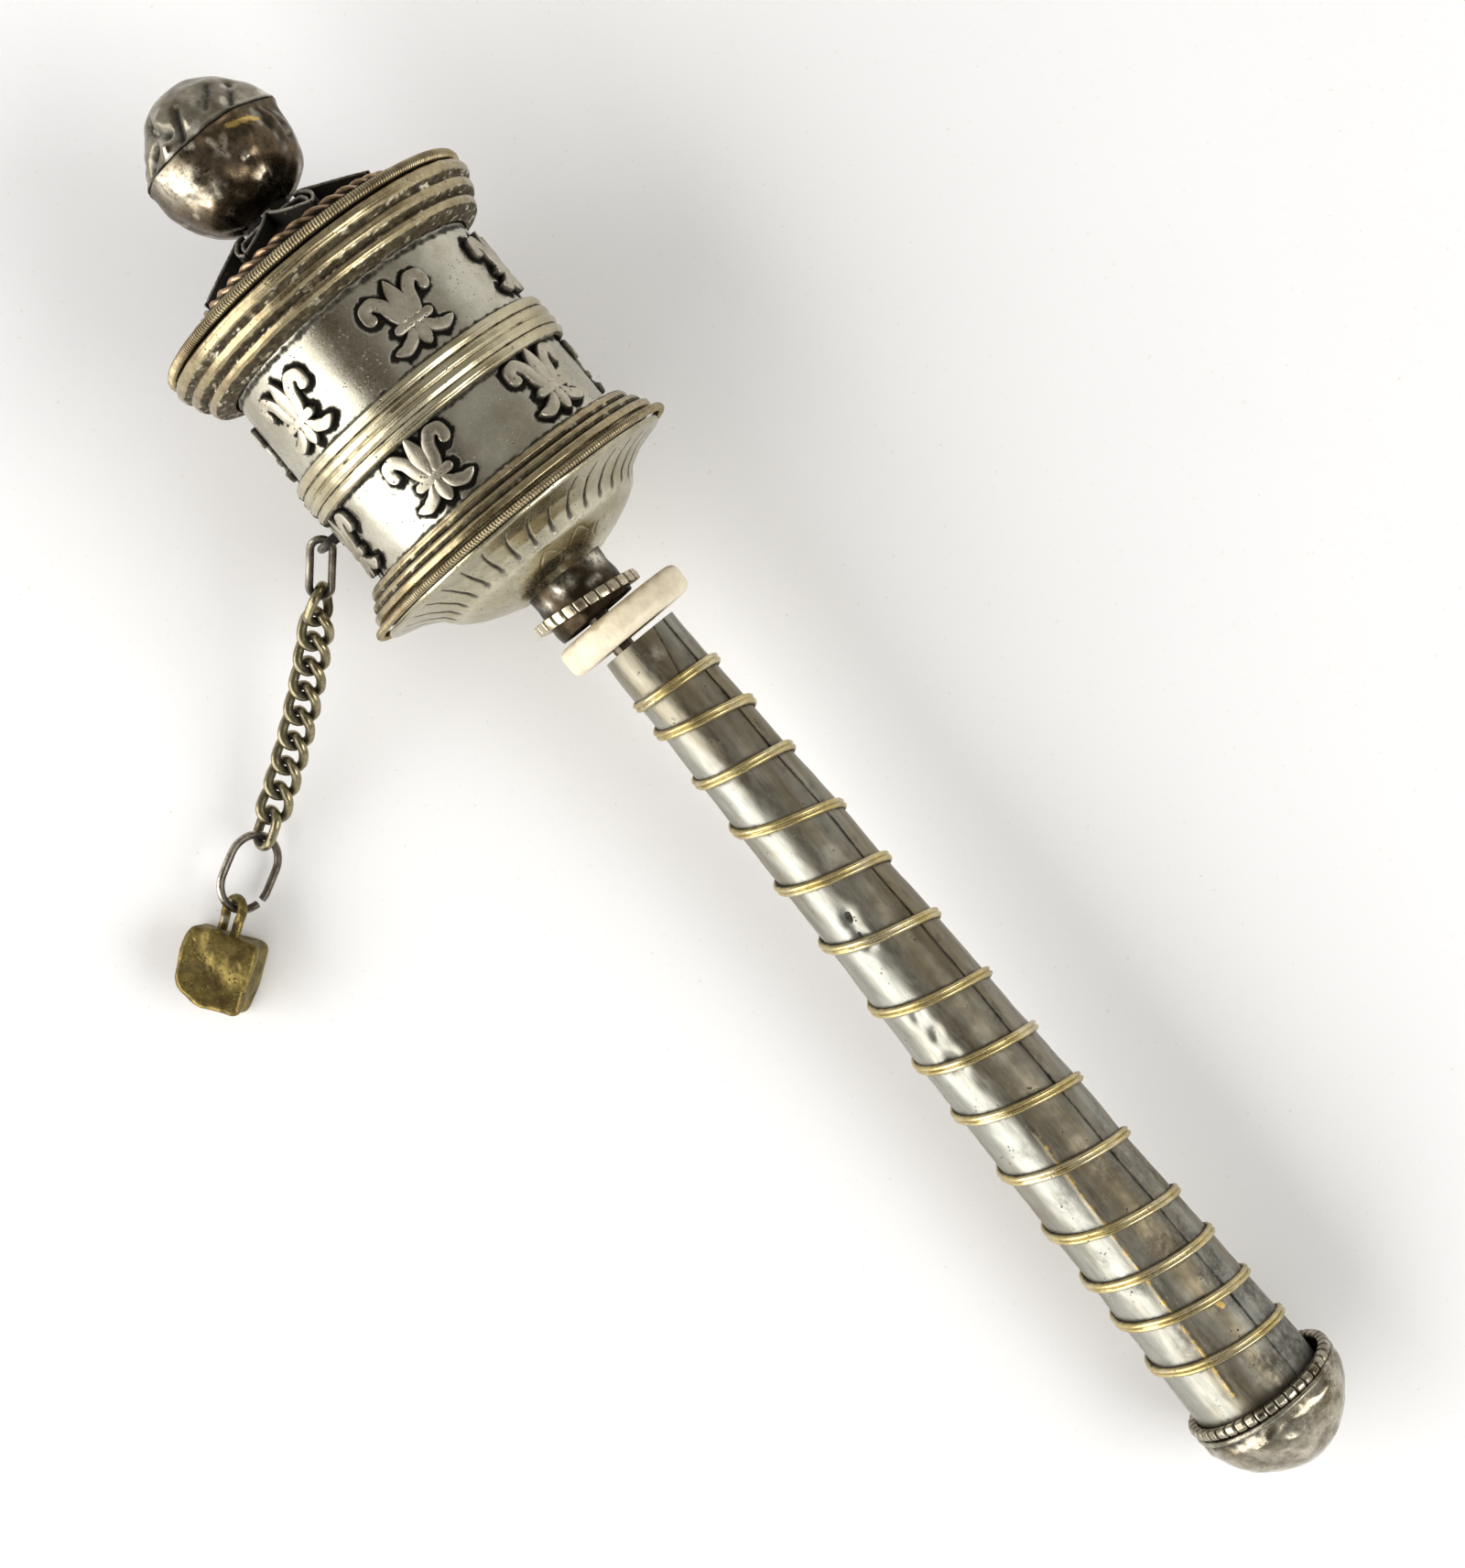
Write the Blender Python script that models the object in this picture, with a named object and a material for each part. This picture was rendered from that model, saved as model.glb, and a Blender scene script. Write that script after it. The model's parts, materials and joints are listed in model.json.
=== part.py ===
"""Hand-held prayer wheel lying on a table: drum, handle, binding wire and a chained weight.

Shapes are laid out in millimetres along the wheel's own axis, as (s, y, z): s runs from the finial's end to the
pommel's end, y is sideways and z is up. The wheel is then tilted so that its bottom rim and its pommel stand on the
table, which is the plane z = 0. The chain and its weight are laid out straight on the table, in world millimetres.
"""

import math

import bmesh
import bpy
import numpy as np

MM = 0.001
CLEAR = 0.3  # gap between neighbouring pieces
BORE_CLEAR = 0.08  # radial running clearance of the bushes on the rod

# Drum, along the rod's axis
RIM_SIDES = 24
RIM_S = 72.1
RIM_R = 24.9
SHELL_R = 19.4
SHELL_WALL = 0.6
SHELL_S = (30.6, 53.2, 53.4, 69.2)
TOP_WIRE = (29.2, 23.9, 0.8)  # position, centre radius, wire radius
ROPE_WIRE = (26.7, 15.9, 0.7)
TOP_COVER = ((21.6, 3.95), (21.6, 5.0), (27.3, 16.2), (28.0, 22.6), (28.9, 22.6), (28.1, 16.0), (22.5, 3.95))
TOP_RIM = (
    (30.3, 24.4), (31.3, 25.1), (32.2, 24.7), (32.8, 23.3), (33.6, 23.8), (34.6, 23.5), (35.2, 21.9),
    (36.1, 22.0), (37.0, 21.4), (37.4, 20.2), (36.9, 19.75), (33.6, 19.75), (31.4, 21.8), (30.3, 22.4),
)
MID_BAND = (
    (50.2, 20.0), (50.6, 20.6), (51.5, 20.8), (52.2, 20.3), (52.7, 20.7), (53.6, 20.8), (54.2, 20.3),
    (54.8, 20.7), (55.7, 20.7), (56.3, 20.1), (56.1, 19.7), (50.4, 19.7),
)
BOTTOM_RIM = (
    (66.9, 20.2), (67.5, 21.7), (68.4, 21.9), (68.9, 21.3), (69.7, 23.2), (70.7, 23.6), (71.1, 24.2),
    (71.1, 23.2), (69.6, 19.75), (67.2, 19.75),
)
BOTTOM_WIRE = (RIM_S, 24.3, 0.6)
BOTTOM_COVER = (
    (72.6, 23.3), (73.2, 23.3), (74.3, 19.2), (75.7, 16.6), (77.6, 15.0), (79.1, 12.6), (80.3, 9.6),
    (81.2, 6.9), (81.0, 6.3), (80.4, 6.3), (79.5, 9.3), (78.4, 12.0), (76.9, 14.3), (75.0, 16.0), (73.6, 18.9),
)
SLEEVE = (76.0, 88.3, 5.95, 5.15)  # start, end, outer and inner radius
SLEEVE_RING = (86.0, 7.0, 0.75, 8.0)  # position, centre radius, wire radius, tilt in degrees
UPPER_BUSH = (24.3, 26.2, 6.6)
LOWER_BUSH = (82.0, 87.6, 4.85)
PAPER_ROLL = (33.5, 66.5, 17.6, 4.0)

# Crown of lotus petals: one strip bent to and fro on the top cover
PETALS = 8
PETAL_R = (6.4, 14.3)
PETAL_HEIGHT = 1.7
PETAL_THICK = 0.5

# Raised ornaments: one scroll in each of two staggered rows
ORNAMENTS_PER_ROW = 6
ORNAMENT_ROWS = ((44.0, 17.0), (60.9, -14.0))  # position and first angle
ORNAMENT_STROKE = 1.5
ORNAMENT_R = (19.6, 20.3)
CURL_CENTRE = (2.6, 1.6)
CURL_R = 1.45
CURL_ANGLES = (180, 135, 90, 45, 0, -45)
SCROLL_SIDE = (2.5, -1.6)
SCROLL_TIP = (0.0, -4.3)

# Rod, finial, washer
ROD_R = 1.6
ROD_S = (13.0, 205.0)
BALL_S = 9.9
BALL_R = 10.0
BALL_WALL = 0.7
BALL_SEAM = 7.8
NECK = (17.2, 23.4, 3.6, 1.9)  # start, end, outer and inner radius
WASHER_S = (88.9, 93.2)
WASHER_R = (10.0, 4.3)
WASHER_CHAMFER = 0.8

# Handle, whose own centre line lies a little to one side of the rod
HANDLE_Y = 2.4
HANDLE_S = (94.1, 228.5)
HANDLE_R = (5.6, 9.55)
HANDLE_SIDES = 16
SHEET_WALL = 0.5
CORE_S = (96.0, 222.0)
WIRE_TURNS = (101.8, 107.8, 116.1, 125.4, 135.0, 145.0, 155.7, 165.4, 174.2, 184.3, 194.6, 202.4, 209.8, 216.8)
WIRE_LEAN = 2.2  # how much further on a turn is, halfway over the top, than an even winding would be
WIRE_SIZE = (1.3, 0.7)
POMMEL_SIDES = 20
POMMEL_S = 229.2
POMMEL_R = 11.4
POMMEL = (
    (227.0, 11.0), (POMMEL_S, POMMEL_R), (232.4, 10.7), (235.6, 8.8), (238.2, 5.8), (239.6, 2.8), (240.0, 0.0),
    (239.2, 0.0), (238.8, 2.4), (237.5, 5.2), (235.0, 8.1), (232.0, 9.95), (229.2, 10.6), (227.0, 10.2),
)
POMMEL_RING = (226.1, 10.7, 0.6)

# Chain: the staple's place on the band, then links given as pitch and width, and how the chain lies
STAPLE = (57.8, -5.5, 2.1, 0.9)  # position, angle below the side, loop radius, wire diameter
STAPLE_REACH = 21.0
STAPLE_FOOT = 19.75  # radius at which its legs end, just off the shell
STAPLE_HANG = 1.0  # from the loop's end back to where the first link is hung
LONG_LINK = (7.5, 1.5, 0.95)  # pitch, half-width at mid wire, wire diameter
LONG_HEADING = -48.0
LONG_DROP = 34.0
LONG_ROLL = -10.0
CURB_LINKS = 10
CURB = (3.85, 1.85, 1.25)
CURB_HEADING = (-52.0, -62.0)
CURB_DROP = (33.0, 14.0)
END_RING = (9.7, 4.0, 1.15)
END_RING_HEADING = -61.0
END_RING_DROP = -3.0
LINK_GAP = 0.16
WEIGHT_SIZE = (11.1, 10.8, 9.0)
WEIGHT_CUT = 1.4  # how much each upright corner of the block is cut
WEIGHT_HEADING = -55.0
EYE = (1.75, 1.5)  # loop radius at mid wire, wire diameter
EYE_ROLL = 42.0
ROLL = 45.0  # how far a curb link's ends are turned about the chain

RIM_REST = RIM_R * math.cos(math.pi / RIM_SIDES)
POMMEL_REST = POMMEL_R * math.cos(math.pi / POMMEL_SIDES)
TILT = math.atan2(RIM_REST - POMMEL_REST, POMMEL_S - RIM_S)

FINISHES = {
    "silver": (0.72, 0.71, 0.67, 0.32),
    "nickel": (0.62, 0.56, 0.42, 0.28),
    "patina": (0.10, 0.09, 0.08, 0.50),
    "pewter": (0.45, 0.44, 0.41, 0.35),
    "brass": (0.62, 0.50, 0.27, 0.30),
    "old_brass": (0.40, 0.31, 0.14, 0.45),
    "steel": (0.30, 0.29, 0.27, 0.35),
    "wood": (0.30, 0.18, 0.09, 0.70),
    "bone": (0.85, 0.80, 0.66, 0.45),
    "paper": (0.80, 0.74, 0.60, 0.90),
}


def to_world(points):
    """Tilts points laid out along the wheel's axis so that the wheel stands on the table."""
    s, y, z = np.moveaxis(np.asarray(points, float), -1, 0)
    cos, sin = math.cos(TILT), math.sin(TILT)
    along, up = s - RIM_S, z + RIM_REST
    return np.stack([along * cos + up * sin, y, up * cos - along * sin], axis=-1)


def material(node, finish):
    *colour, rough = FINISHES[finish]
    made = bpy.data.materials.new(node)
    made.use_nodes = True
    shader = made.node_tree.nodes["Principled BSDF"]
    shader.inputs["Base Color"].default_value = (*colour, 1.0)
    shader.inputs["Roughness"].default_value = rough
    shader.inputs["Metallic"].default_value = 0.0 if finish in ("wood", "bone", "paper") else 1.0
    made.diffuse_color = (*colour, 1.0)
    return made


def add_node(name, points, faces, finish, origin):
    """Makes one closed body from world millimetres, with its origin at the given world point."""
    origin = np.asarray(origin, float)
    mesh = bpy.data.meshes.new(name)
    mesh.from_pydata(((points - origin) * MM).tolist(), [], [list(f) for f in faces])
    shape = bmesh.new()
    shape.from_mesh(mesh)
    bmesh.ops.recalc_face_normals(shape, faces=shape.faces)
    shape.to_mesh(mesh)
    shape.free()
    node = bpy.data.objects.new(name, mesh)
    node.location = origin * MM
    mesh.materials.append(material(name, finish))
    bpy.context.scene.collection.objects.link(node)
    return node


def circle(s, radius, sides, y=0.0, tilt=0.0):
    """One ring of points about the axis, with a flat side down. A tilt in degrees leans it along the axis."""
    angle = (np.arange(sides) + 0.5) * 2 * math.pi / sides
    across = radius * np.sin(angle)
    lean = across * math.sin(math.radians(tilt))
    return np.stack([s + lean, y + across * math.cos(math.radians(tilt)), -radius * np.cos(angle)], axis=-1)


def loft(rings):
    """Joins rings of equal length into one closed tube. A ring of one point closes the shape at a pole."""
    points, starts = np.concatenate(rings), np.cumsum([0] + [len(r) for r in rings])
    faces = []
    for k, ring in enumerate(rings):
        after = rings[(k + 1) % len(rings)]
        a, b = starts[k], starts[(k + 1) % len(rings)]
        if len(ring) == len(after) == 1:
            continue
        for i in range(max(len(ring), len(after))):
            j = (i + 1) % max(len(ring), len(after))
            if len(ring) == 1:
                faces.append((a, b + j, b + i))
            elif len(after) == 1:
                faces.append((a + i, a + j, b))
            else:
                faces.append((a + i, a + j, b + j, b + i))
    return points, faces


def turned(name, profile, sides, finish, origin, y=0.0):
    """A body of revolution from a closed profile of (s, radius)."""
    rings = [circle(s, r, sides, y) if r > 0 else np.array([[s, y, 0.0]]) for s, r in profile]
    points, faces = loft(rings)
    return add_node(name, to_world(points), faces, finish, origin)


def ring_wire(name, place, sides, finish, origin, y=0.0, tilt=0.0, section=6):
    """A wire bent to a ring about the axis."""
    s, radius, wire = place
    angles = np.arange(section) * 2 * math.pi / section
    rings = [circle(s + wire * math.sin(a), radius + wire * math.cos(a), sides, y, tilt) for a in angles]
    points, faces = loft(rings)
    return add_node(name, to_world(points), faces, finish, origin)


def tube_profile(start, end, outer, inner):
    return (start, outer), (end, outer), (end, inner), (start, inner)


def swept(path, sides_by, section, closed):
    """Sweeps a section of (across, out) along a path. sides_by gives each point its across direction."""
    ahead = np.roll(path, -1, axis=0) - np.roll(path, 1, axis=0)
    if not closed:
        ahead[0], ahead[-1] = path[1] - path[0], path[-1] - path[-2]
    ahead /= np.linalg.norm(ahead, axis=1, keepdims=True)
    across = sides_by - (sides_by * ahead).sum(axis=1, keepdims=True) * ahead
    across /= np.linalg.norm(across, axis=1, keepdims=True)
    out = np.cross(ahead, across)
    rings = [p + np.outer(section[:, 0], a) + np.outer(section[:, 1], o) for p, a, o in zip(path, across, out)]
    if closed:
        return loft(rings)
    points, faces = np.concatenate(rings), []
    count = len(section)
    for k in range(len(path) - 1):
        for i in range(count):
            j = (i + 1) % count
            faces.append((k * count + i, k * count + j, (k + 1) * count + j, (k + 1) * count + i))
    faces.append(tuple(range(count)))
    faces.append(tuple(range(len(points) - count, len(points))))
    return points, faces


def round_section(diameter, sides):
    angles = np.arange(sides) * 2 * math.pi / sides
    return diameter / 2 * np.stack([np.cos(angles), np.sin(angles)], axis=-1)


# --- the drum and what is fixed to it ---------------------------------------------------------------------------


def cover_surface(radius):
    """Where the top cover's outside is, at a radius."""
    (s0, r0), (s1, r1) = TOP_COVER[1], TOP_COVER[2]
    return s0 + (radius - r0) * (s1 - s0) / (r1 - r0)


def build_crown(origin):
    """One strip that rises from the rope wire to each petal's point and back, standing on the cover."""
    steps = 6 * PETALS
    angle = np.arange(steps) * 2 * math.pi / steps
    wave = np.abs(np.mod(np.arange(steps) / 6, 1) - 0.5) * 2
    radius = PETAL_R[0] + (PETAL_R[1] - PETAL_R[0]) * (1 - wave**1.6)
    rings = []
    for side in (-1, 1):
        for foot in (True, False):
            r = radius + side * PETAL_THICK / 2 * np.where(wave > 0.8, 1.6, 1.9)
            s = cover_surface(r) - 0.15 - (0 if foot else PETAL_HEIGHT)
            rings.append(np.stack([s, r * np.sin(angle), r * np.cos(angle)], axis=-1))
    order = [rings[0], rings[1], rings[3], rings[2]]
    points, faces = loft(order)
    add_node("petal_crown", to_world(points), faces, "patina", origin)


def scroll_path():
    """Half a scroll mirrored: from one curl's inner end down to the tip and up to the other curl's inner end."""
    turns = np.radians(CURL_ANGLES)
    curl = np.stack([CURL_CENTRE[0] + CURL_R * np.cos(turns), CURL_CENTRE[1] + CURL_R * np.sin(turns)], axis=-1)
    half = np.vstack([curl, SCROLL_SIDE])
    return np.vstack([half * (-1, 1), [SCROLL_TIP], half[::-1]])


def offset_path(path, distance):
    """The path moved sideways, mitred at its corners."""
    step = np.diff(path, axis=0)
    step /= np.linalg.norm(step, axis=1, keepdims=True)
    normal = np.stack([-step[:, 1], step[:, 0]], axis=-1)
    before, after = np.vstack([normal[:1], normal]), np.vstack([normal, normal[-1:]])
    mitre = (before + after) / (1 + (before * after).sum(axis=1, keepdims=True))
    return path + distance * mitre


def build_ornament(name, s, angle, origin):
    """A scroll cut from sheet and curved to the shell, with a little air behind it."""
    path = scroll_path()
    columns = []
    for distance, radius in ((-1, 0), (-1, 1), (1, 1), (1, 0)):
        flat = offset_path(path, distance * ORNAMENT_STROKE / 2)
        turn = math.radians(angle) + flat[:, 0] / SHELL_R
        r = ORNAMENT_R[radius]
        columns.append(np.stack([s - flat[:, 1], r * np.sin(turn), r * np.cos(turn)], axis=-1))
    points = np.stack(columns, axis=1).reshape(-1, 3)
    faces = [(4 * k + i, 4 * k + (i + 1) % 4, 4 * k + 4 + (i + 1) % 4, 4 * k + 4 + i)
             for k in range(len(path) - 1) for i in range(4)]
    faces += [(0, 1, 2, 3), tuple(range(len(points) - 4, len(points)))]
    add_node(name, to_world(points), faces, "silver", origin)


def build_ornaments(origin):
    for row, (s, first) in zip(("upper", "lower"), ORNAMENT_ROWS):
        for k in range(ORNAMENTS_PER_ROW):
            build_ornament(f"scroll_{row}_{k + 1}", s, first + 360 / ORNAMENTS_PER_ROW * k, origin)


def staple_path():
    """The staple's loop, in the plane across the axis: two legs and a half circle."""
    s, below, loop, wire = STAPLE
    turns = np.radians(np.linspace(-90, 90, 7))
    out = np.concatenate([[STAPLE_FOOT], STAPLE_REACH + loop * np.cos(turns), [STAPLE_FOOT]])
    along = np.concatenate([[-loop], loop * np.sin(turns), [loop]])
    angle = math.radians(below)
    y = -(out * math.cos(angle) + along * math.sin(angle))
    z = out * math.sin(angle) - along * math.cos(angle)
    return np.stack([np.full(len(out), s), y, z], axis=-1)


def build_staple(origin):
    path = to_world(staple_path())
    across = np.tile(to_world([1.0, 0, 0]) - to_world([0.0, 0, 0]), (len(path), 1))
    points, faces = swept(path, across, round_section(STAPLE[3], 6), closed=False)
    add_node("chain_staple", points, faces, "steel", origin)


def build_drum(origin):
    turned("top_cover", TOP_COVER, RIM_SIDES, "patina", origin)
    build_crown(origin)
    ring_wire("rope_wire", (ROPE_WIRE[0] - 0.35, *ROPE_WIRE[1:]), RIM_SIDES, "nickel", origin)
    ring_wire("top_milled_wire", TOP_WIRE, RIM_SIDES, "nickel", origin)
    turned("top_rim_band", TOP_RIM, RIM_SIDES, "nickel", origin)
    turned("upper_shell", tube_profile(*SHELL_S[:2], SHELL_R, SHELL_R - SHELL_WALL), RIM_SIDES, "silver", origin)
    turned("middle_band", MID_BAND, RIM_SIDES, "nickel", origin)
    turned("lower_shell", tube_profile(*SHELL_S[2:], SHELL_R, SHELL_R - SHELL_WALL), RIM_SIDES, "silver", origin)
    turned("bottom_rim_band", BOTTOM_RIM, RIM_SIDES, "nickel", origin)
    ring_wire("bottom_milled_wire", BOTTOM_WIRE, RIM_SIDES, "nickel", origin)
    turned("bottom_cover", BOTTOM_COVER, RIM_SIDES, "silver", origin)
    turned("axle_sleeve", tube_profile(*SLEEVE), 16, "patina", origin)
    ring_wire("sleeve_bead_ring", SLEEVE_RING[:3], 16, "pewter", origin, tilt=SLEEVE_RING[3])
    bore = (ROD_R + BORE_CLEAR) / math.cos(math.pi / 16)
    turned("upper_bush", tube_profile(*UPPER_BUSH, bore), 16, "patina", origin)
    turned("lower_bush", tube_profile(*LOWER_BUSH, bore), 16, "patina", origin)
    turned("paper_roll", tube_profile(*PAPER_ROLL), 16, "paper", origin)
    build_ornaments(origin)
    build_staple(origin)


# --- the rod and what is fixed to it ----------------------------------------------------------------------------


def ball_profile(first, last, count):
    """A closed band of the hollow ball between two positions along the axis."""
    near, far = (math.acos(np.clip((BALL_S - s) / BALL_R, -1, 1)) for s in (first, last))
    turns = np.linspace(near, far, count)
    outer = [(BALL_S - BALL_R * math.cos(t), BALL_R * math.sin(t)) for t in turns]
    r = BALL_R - BALL_WALL
    inner = [(BALL_S - r * math.cos(t), r * math.sin(t)) for t in turns[::-1]]
    clean = [(s, radius if radius > 1e-6 else 0.0) for s, radius in outer + inner]
    return clean


def handle_radius(s):
    return HANDLE_R[0] + (HANDLE_R[1] - HANDLE_R[0]) * (s - HANDLE_S[0]) / (HANDLE_S[1] - HANDLE_S[0])


def wire_path():
    """The binding wire's mid line: hand-wound turns that lean on over the top, with the sides of the handle's faces."""
    steps = HANDLE_SIDES * (len(WIRE_TURNS) - 1) + HANDLE_SIDES // 2
    turn = np.arange(-HANDLE_SIDES // 4, steps - HANDLE_SIDES // 4 + 1) / HANDLE_SIDES
    knots = np.arange(len(WIRE_TURNS))
    s = np.interp(turn, knots, WIRE_TURNS)
    ends = turn < 0
    s[ends] = WIRE_TURNS[0] + turn[ends] * (WIRE_TURNS[1] - WIRE_TURNS[0])
    over = turn > knots[-1]
    s[over] = WIRE_TURNS[-1] + (turn[over] - knots[-1]) * (WIRE_TURNS[-1] - WIRE_TURNS[-2])
    s += WIRE_LEAN * np.sin(2 * math.pi * turn) * np.minimum(1, (s - WIRE_TURNS[0]) / 12 + 0.25)
    angle = 2 * math.pi * turn + math.pi / HANDLE_SIDES
    return s, angle


def build_wire(origin):
    s, angle = wire_path()
    width, height = WIRE_SIZE
    columns = []
    for along, level in ((-1, 0), (-1, 1), (1, 1), (1, 0)):
        place = s + along * width / 2
        r = handle_radius(place) + CLEAR + level * height
        columns.append(np.stack([place, HANDLE_Y + r * np.sin(angle), r * np.cos(angle)], axis=-1))
    points = np.stack(columns, axis=1).reshape(-1, 3)
    faces = [(4 * k + i, 4 * k + (i + 1) % 4, 4 * k + 4 + (i + 1) % 4, 4 * k + 4 + i)
             for k in range(len(s) - 1) for i in range(4)]
    faces += [(0, 1, 2, 3), tuple(range(len(points) - 4, len(points)))]
    add_node("binding_wire", to_world(points), faces, "brass", origin)


def build_core(origin):
    """The wooden core, bored off its centre for the rod."""
    inner = ROD_R + CLEAR
    outer = [handle_radius(s) - SHEET_WALL - CLEAR for s in CORE_S]
    rings = [
        circle(CORE_S[0], outer[0], HANDLE_SIDES, HANDLE_Y),
        circle(CORE_S[1], outer[1], HANDLE_SIDES, HANDLE_Y),
        circle(CORE_S[1], inner, HANDLE_SIDES),
        circle(CORE_S[0], inner, HANDLE_SIDES),
    ]
    points, faces = loft(rings)
    add_node("handle_core", to_world(points), faces, "wood", origin)


def build_handle(origin):
    turned("axle_rod", ((ROD_S[0], 0), (ROD_S[0], ROD_R), (ROD_S[1], ROD_R), (ROD_S[1], 0)), 12, "steel", origin)
    build_core(origin)
    (s0, s1), (r0, r1) = HANDLE_S, HANDLE_R
    sheet = ((s0, r0), (s1, r1), (s1, r1 - SHEET_WALL), (s0, r0 - SHEET_WALL))
    turned("handle_sheet", sheet, HANDLE_SIDES, "pewter", origin, HANDLE_Y)
    build_wire(origin)
    turned("pommel_cap", POMMEL, POMMEL_SIDES, "pewter", origin, HANDLE_Y)
    ring_wire("pommel_bead_ring", POMMEL_RING, POMMEL_SIDES, "silver", origin, HANDLE_Y)
    turned("finial_outer_half", ball_profile(BALL_S - BALL_R, BALL_SEAM, 5), 16, "pewter", origin)
    turned("finial_inner_half", ball_profile(BALL_SEAM + 0.2, 19.05, 6), 16, "old_brass", origin)
    turned("finial_neck", tube_profile(*NECK), 16, "patina", origin)


def build_washer(origin):
    (s0, s1), (outer, inner), cut = WASHER_S, WASHER_R, WASHER_CHAMFER
    profile = ((s0, outer - cut), (s0 + cut, outer), (s1 - cut, outer), (s1, outer - cut), (s1, inner), (s0, inner))
    turned("bone_washer", profile, RIM_SIDES, "bone", origin, HANDLE_Y)


# --- the chain --------------------------------------------------------------------------------------------------


def heading_frame(heading, drop):
    """(ahead, side, up) for a link that points along a heading and drops below the horizontal, in degrees."""
    h, d = math.radians(heading), math.radians(drop)
    ahead = np.array([math.cos(d) * math.cos(h), math.cos(d) * math.sin(h), -math.sin(d)])
    side = np.array([-math.sin(h), math.cos(h), 0.0])
    return ahead, side, np.cross(ahead, side)


def rolled(frame, roll):
    """The side direction of a frame, turned about the way ahead."""
    _, side, up = frame
    return math.cos(math.radians(roll)) * side + math.sin(math.radians(roll)) * up


def chain_layout():
    """Every link as (name, near pivot, frame, size, roll at its near end, roll at its far end)."""
    angle = math.radians(STAPLE[1])
    reach = STAPLE_REACH + STAPLE[2]
    tip = to_world([STAPLE[0], -reach * math.cos(angle), reach * math.sin(angle)])
    frame = heading_frame(LONG_HEADING, LONG_DROP)
    pivot = tip - STAPLE_HANG * frame[0]
    links = []
    links.append(("long_link", pivot, frame, LONG_LINK, LONG_ROLL, LONG_ROLL))
    pivot = pivot + LONG_LINK[0] * frame[0]
    for k in range(CURB_LINKS):
        part = k / (CURB_LINKS - 1)
        heading = CURB_HEADING[0] + part * (CURB_HEADING[1] - CURB_HEADING[0])
        drop = CURB_DROP[0] + part * (CURB_DROP[1] - CURB_DROP[0])
        frame = heading_frame(heading, drop)
        near = -2 * ROLL if k == 0 else ROLL
        far = ROLL if k == CURB_LINKS - 1 else -ROLL
        links.append((f"curb_link_{k + 1:02d}", pivot, frame, CURB, near, far))
        pivot = pivot + CURB[0] * frame[0]
    frame = heading_frame(END_RING_HEADING, END_RING_DROP)
    links.append(("end_ring", pivot, frame, END_RING, -ROLL, -ROLL))
    pivot = pivot + END_RING[0] * frame[0]
    frame = heading_frame(WEIGHT_HEADING, 0.0)
    links.append(("chain_weight", pivot, frame, None, EYE_ROLL, EYE_ROLL))
    return links


def link_path(pivot, frame, size, near, far, steps=7):
    """A link's mid line: a long oval whose width turns about the way ahead, from the near roll to the far one."""
    pitch, half_width, wire = size
    half = (pitch + wire + LINK_GAP) / 2
    straight = half - half_width
    turns = np.radians(np.linspace(-90, 90, steps))
    along = np.concatenate([straight + half_width * np.cos(turns), -straight - half_width * np.cos(turns)])
    width = half_width * np.concatenate([np.sin(turns), -np.sin(turns)])
    roll = np.radians(near + (far - near) * (along / half + 1) / 2)
    ahead, side, up = frame
    across = np.cos(roll)[:, None] * side + np.sin(roll)[:, None] * up
    facing = -np.sin(roll)[:, None] * side + np.cos(roll)[:, None] * up
    path = pivot + (pitch / 2 + along)[:, None] * ahead + width[:, None] * across
    return path, facing


def build_weight(name, pivot, frame):
    """A rough cast block with its eye, joined into one body."""
    ahead, side, up = frame
    length, width, height = WEIGHT_SIZE
    loop, wire = EYE
    centre = pivot + (loop * 2 + 0.35 + length / 2) * ahead
    centre[2] = height / 2
    cut = WEIGHT_CUT
    corners = np.array([(1, 1), (1, -1), (-1, -1), (-1, 1)], float)
    outline = []
    for a, b in corners:
        flat = (a * length / 2, b * width / 2)
        steps = ((-cut * a, 0), (0, -cut * b))
        for da, db in steps if a * b > 0 else steps[::-1]:
            outline.append((flat[0] + da, flat[1] + db))
    outline = np.array(outline)
    rings = [centre + (shrink * outline[:, :1] * ahead + shrink * outline[:, 1:] * side) + z * up
             for shrink, z in ((0.88, -height / 2), (1, -height / 2 + 1.2), (1, height / 2 - 1.2), (0.88, height / 2))]
    points = np.concatenate(rings)
    count = len(outline)
    faces = [(k * count + i, k * count + (i + 1) % count, (k + 1) * count + (i + 1) % count, (k + 1) * count + i)
             for k in range(3) for i in range(count)]
    faces += [tuple(range(count)), tuple(range(3 * count, 4 * count))]
    block = add_node(name, points, faces, "old_brass", pivot)
    across = rolled(frame, EYE_ROLL)
    turns = np.radians(np.linspace(-115, 115, 11))
    middle = pivot + (loop - (wire + LINK_GAP) / 2) * ahead
    path = middle - loop * np.cos(turns)[:, None] * ahead + loop * np.sin(turns)[:, None] * across
    legs = [path[:1] + 3.2 * ahead - 0.2 * across, path, path[-1:] + 3.2 * ahead + 0.2 * across]
    path = np.concatenate(legs)
    facing = np.tile(np.cross(ahead, across), (len(path), 1))
    points, faces = swept(path, facing, round_section(wire, 6), closed=False)
    eye = add_node("weight_eye_tool", points, faces, "old_brass", pivot)
    eye.hide_render = True
    eye.display_type = "WIRE"
    join = block.modifiers.new("join_eye", "BOOLEAN")
    join.operation = "UNION"
    join.solver = "EXACT"
    join.object = eye


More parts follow.
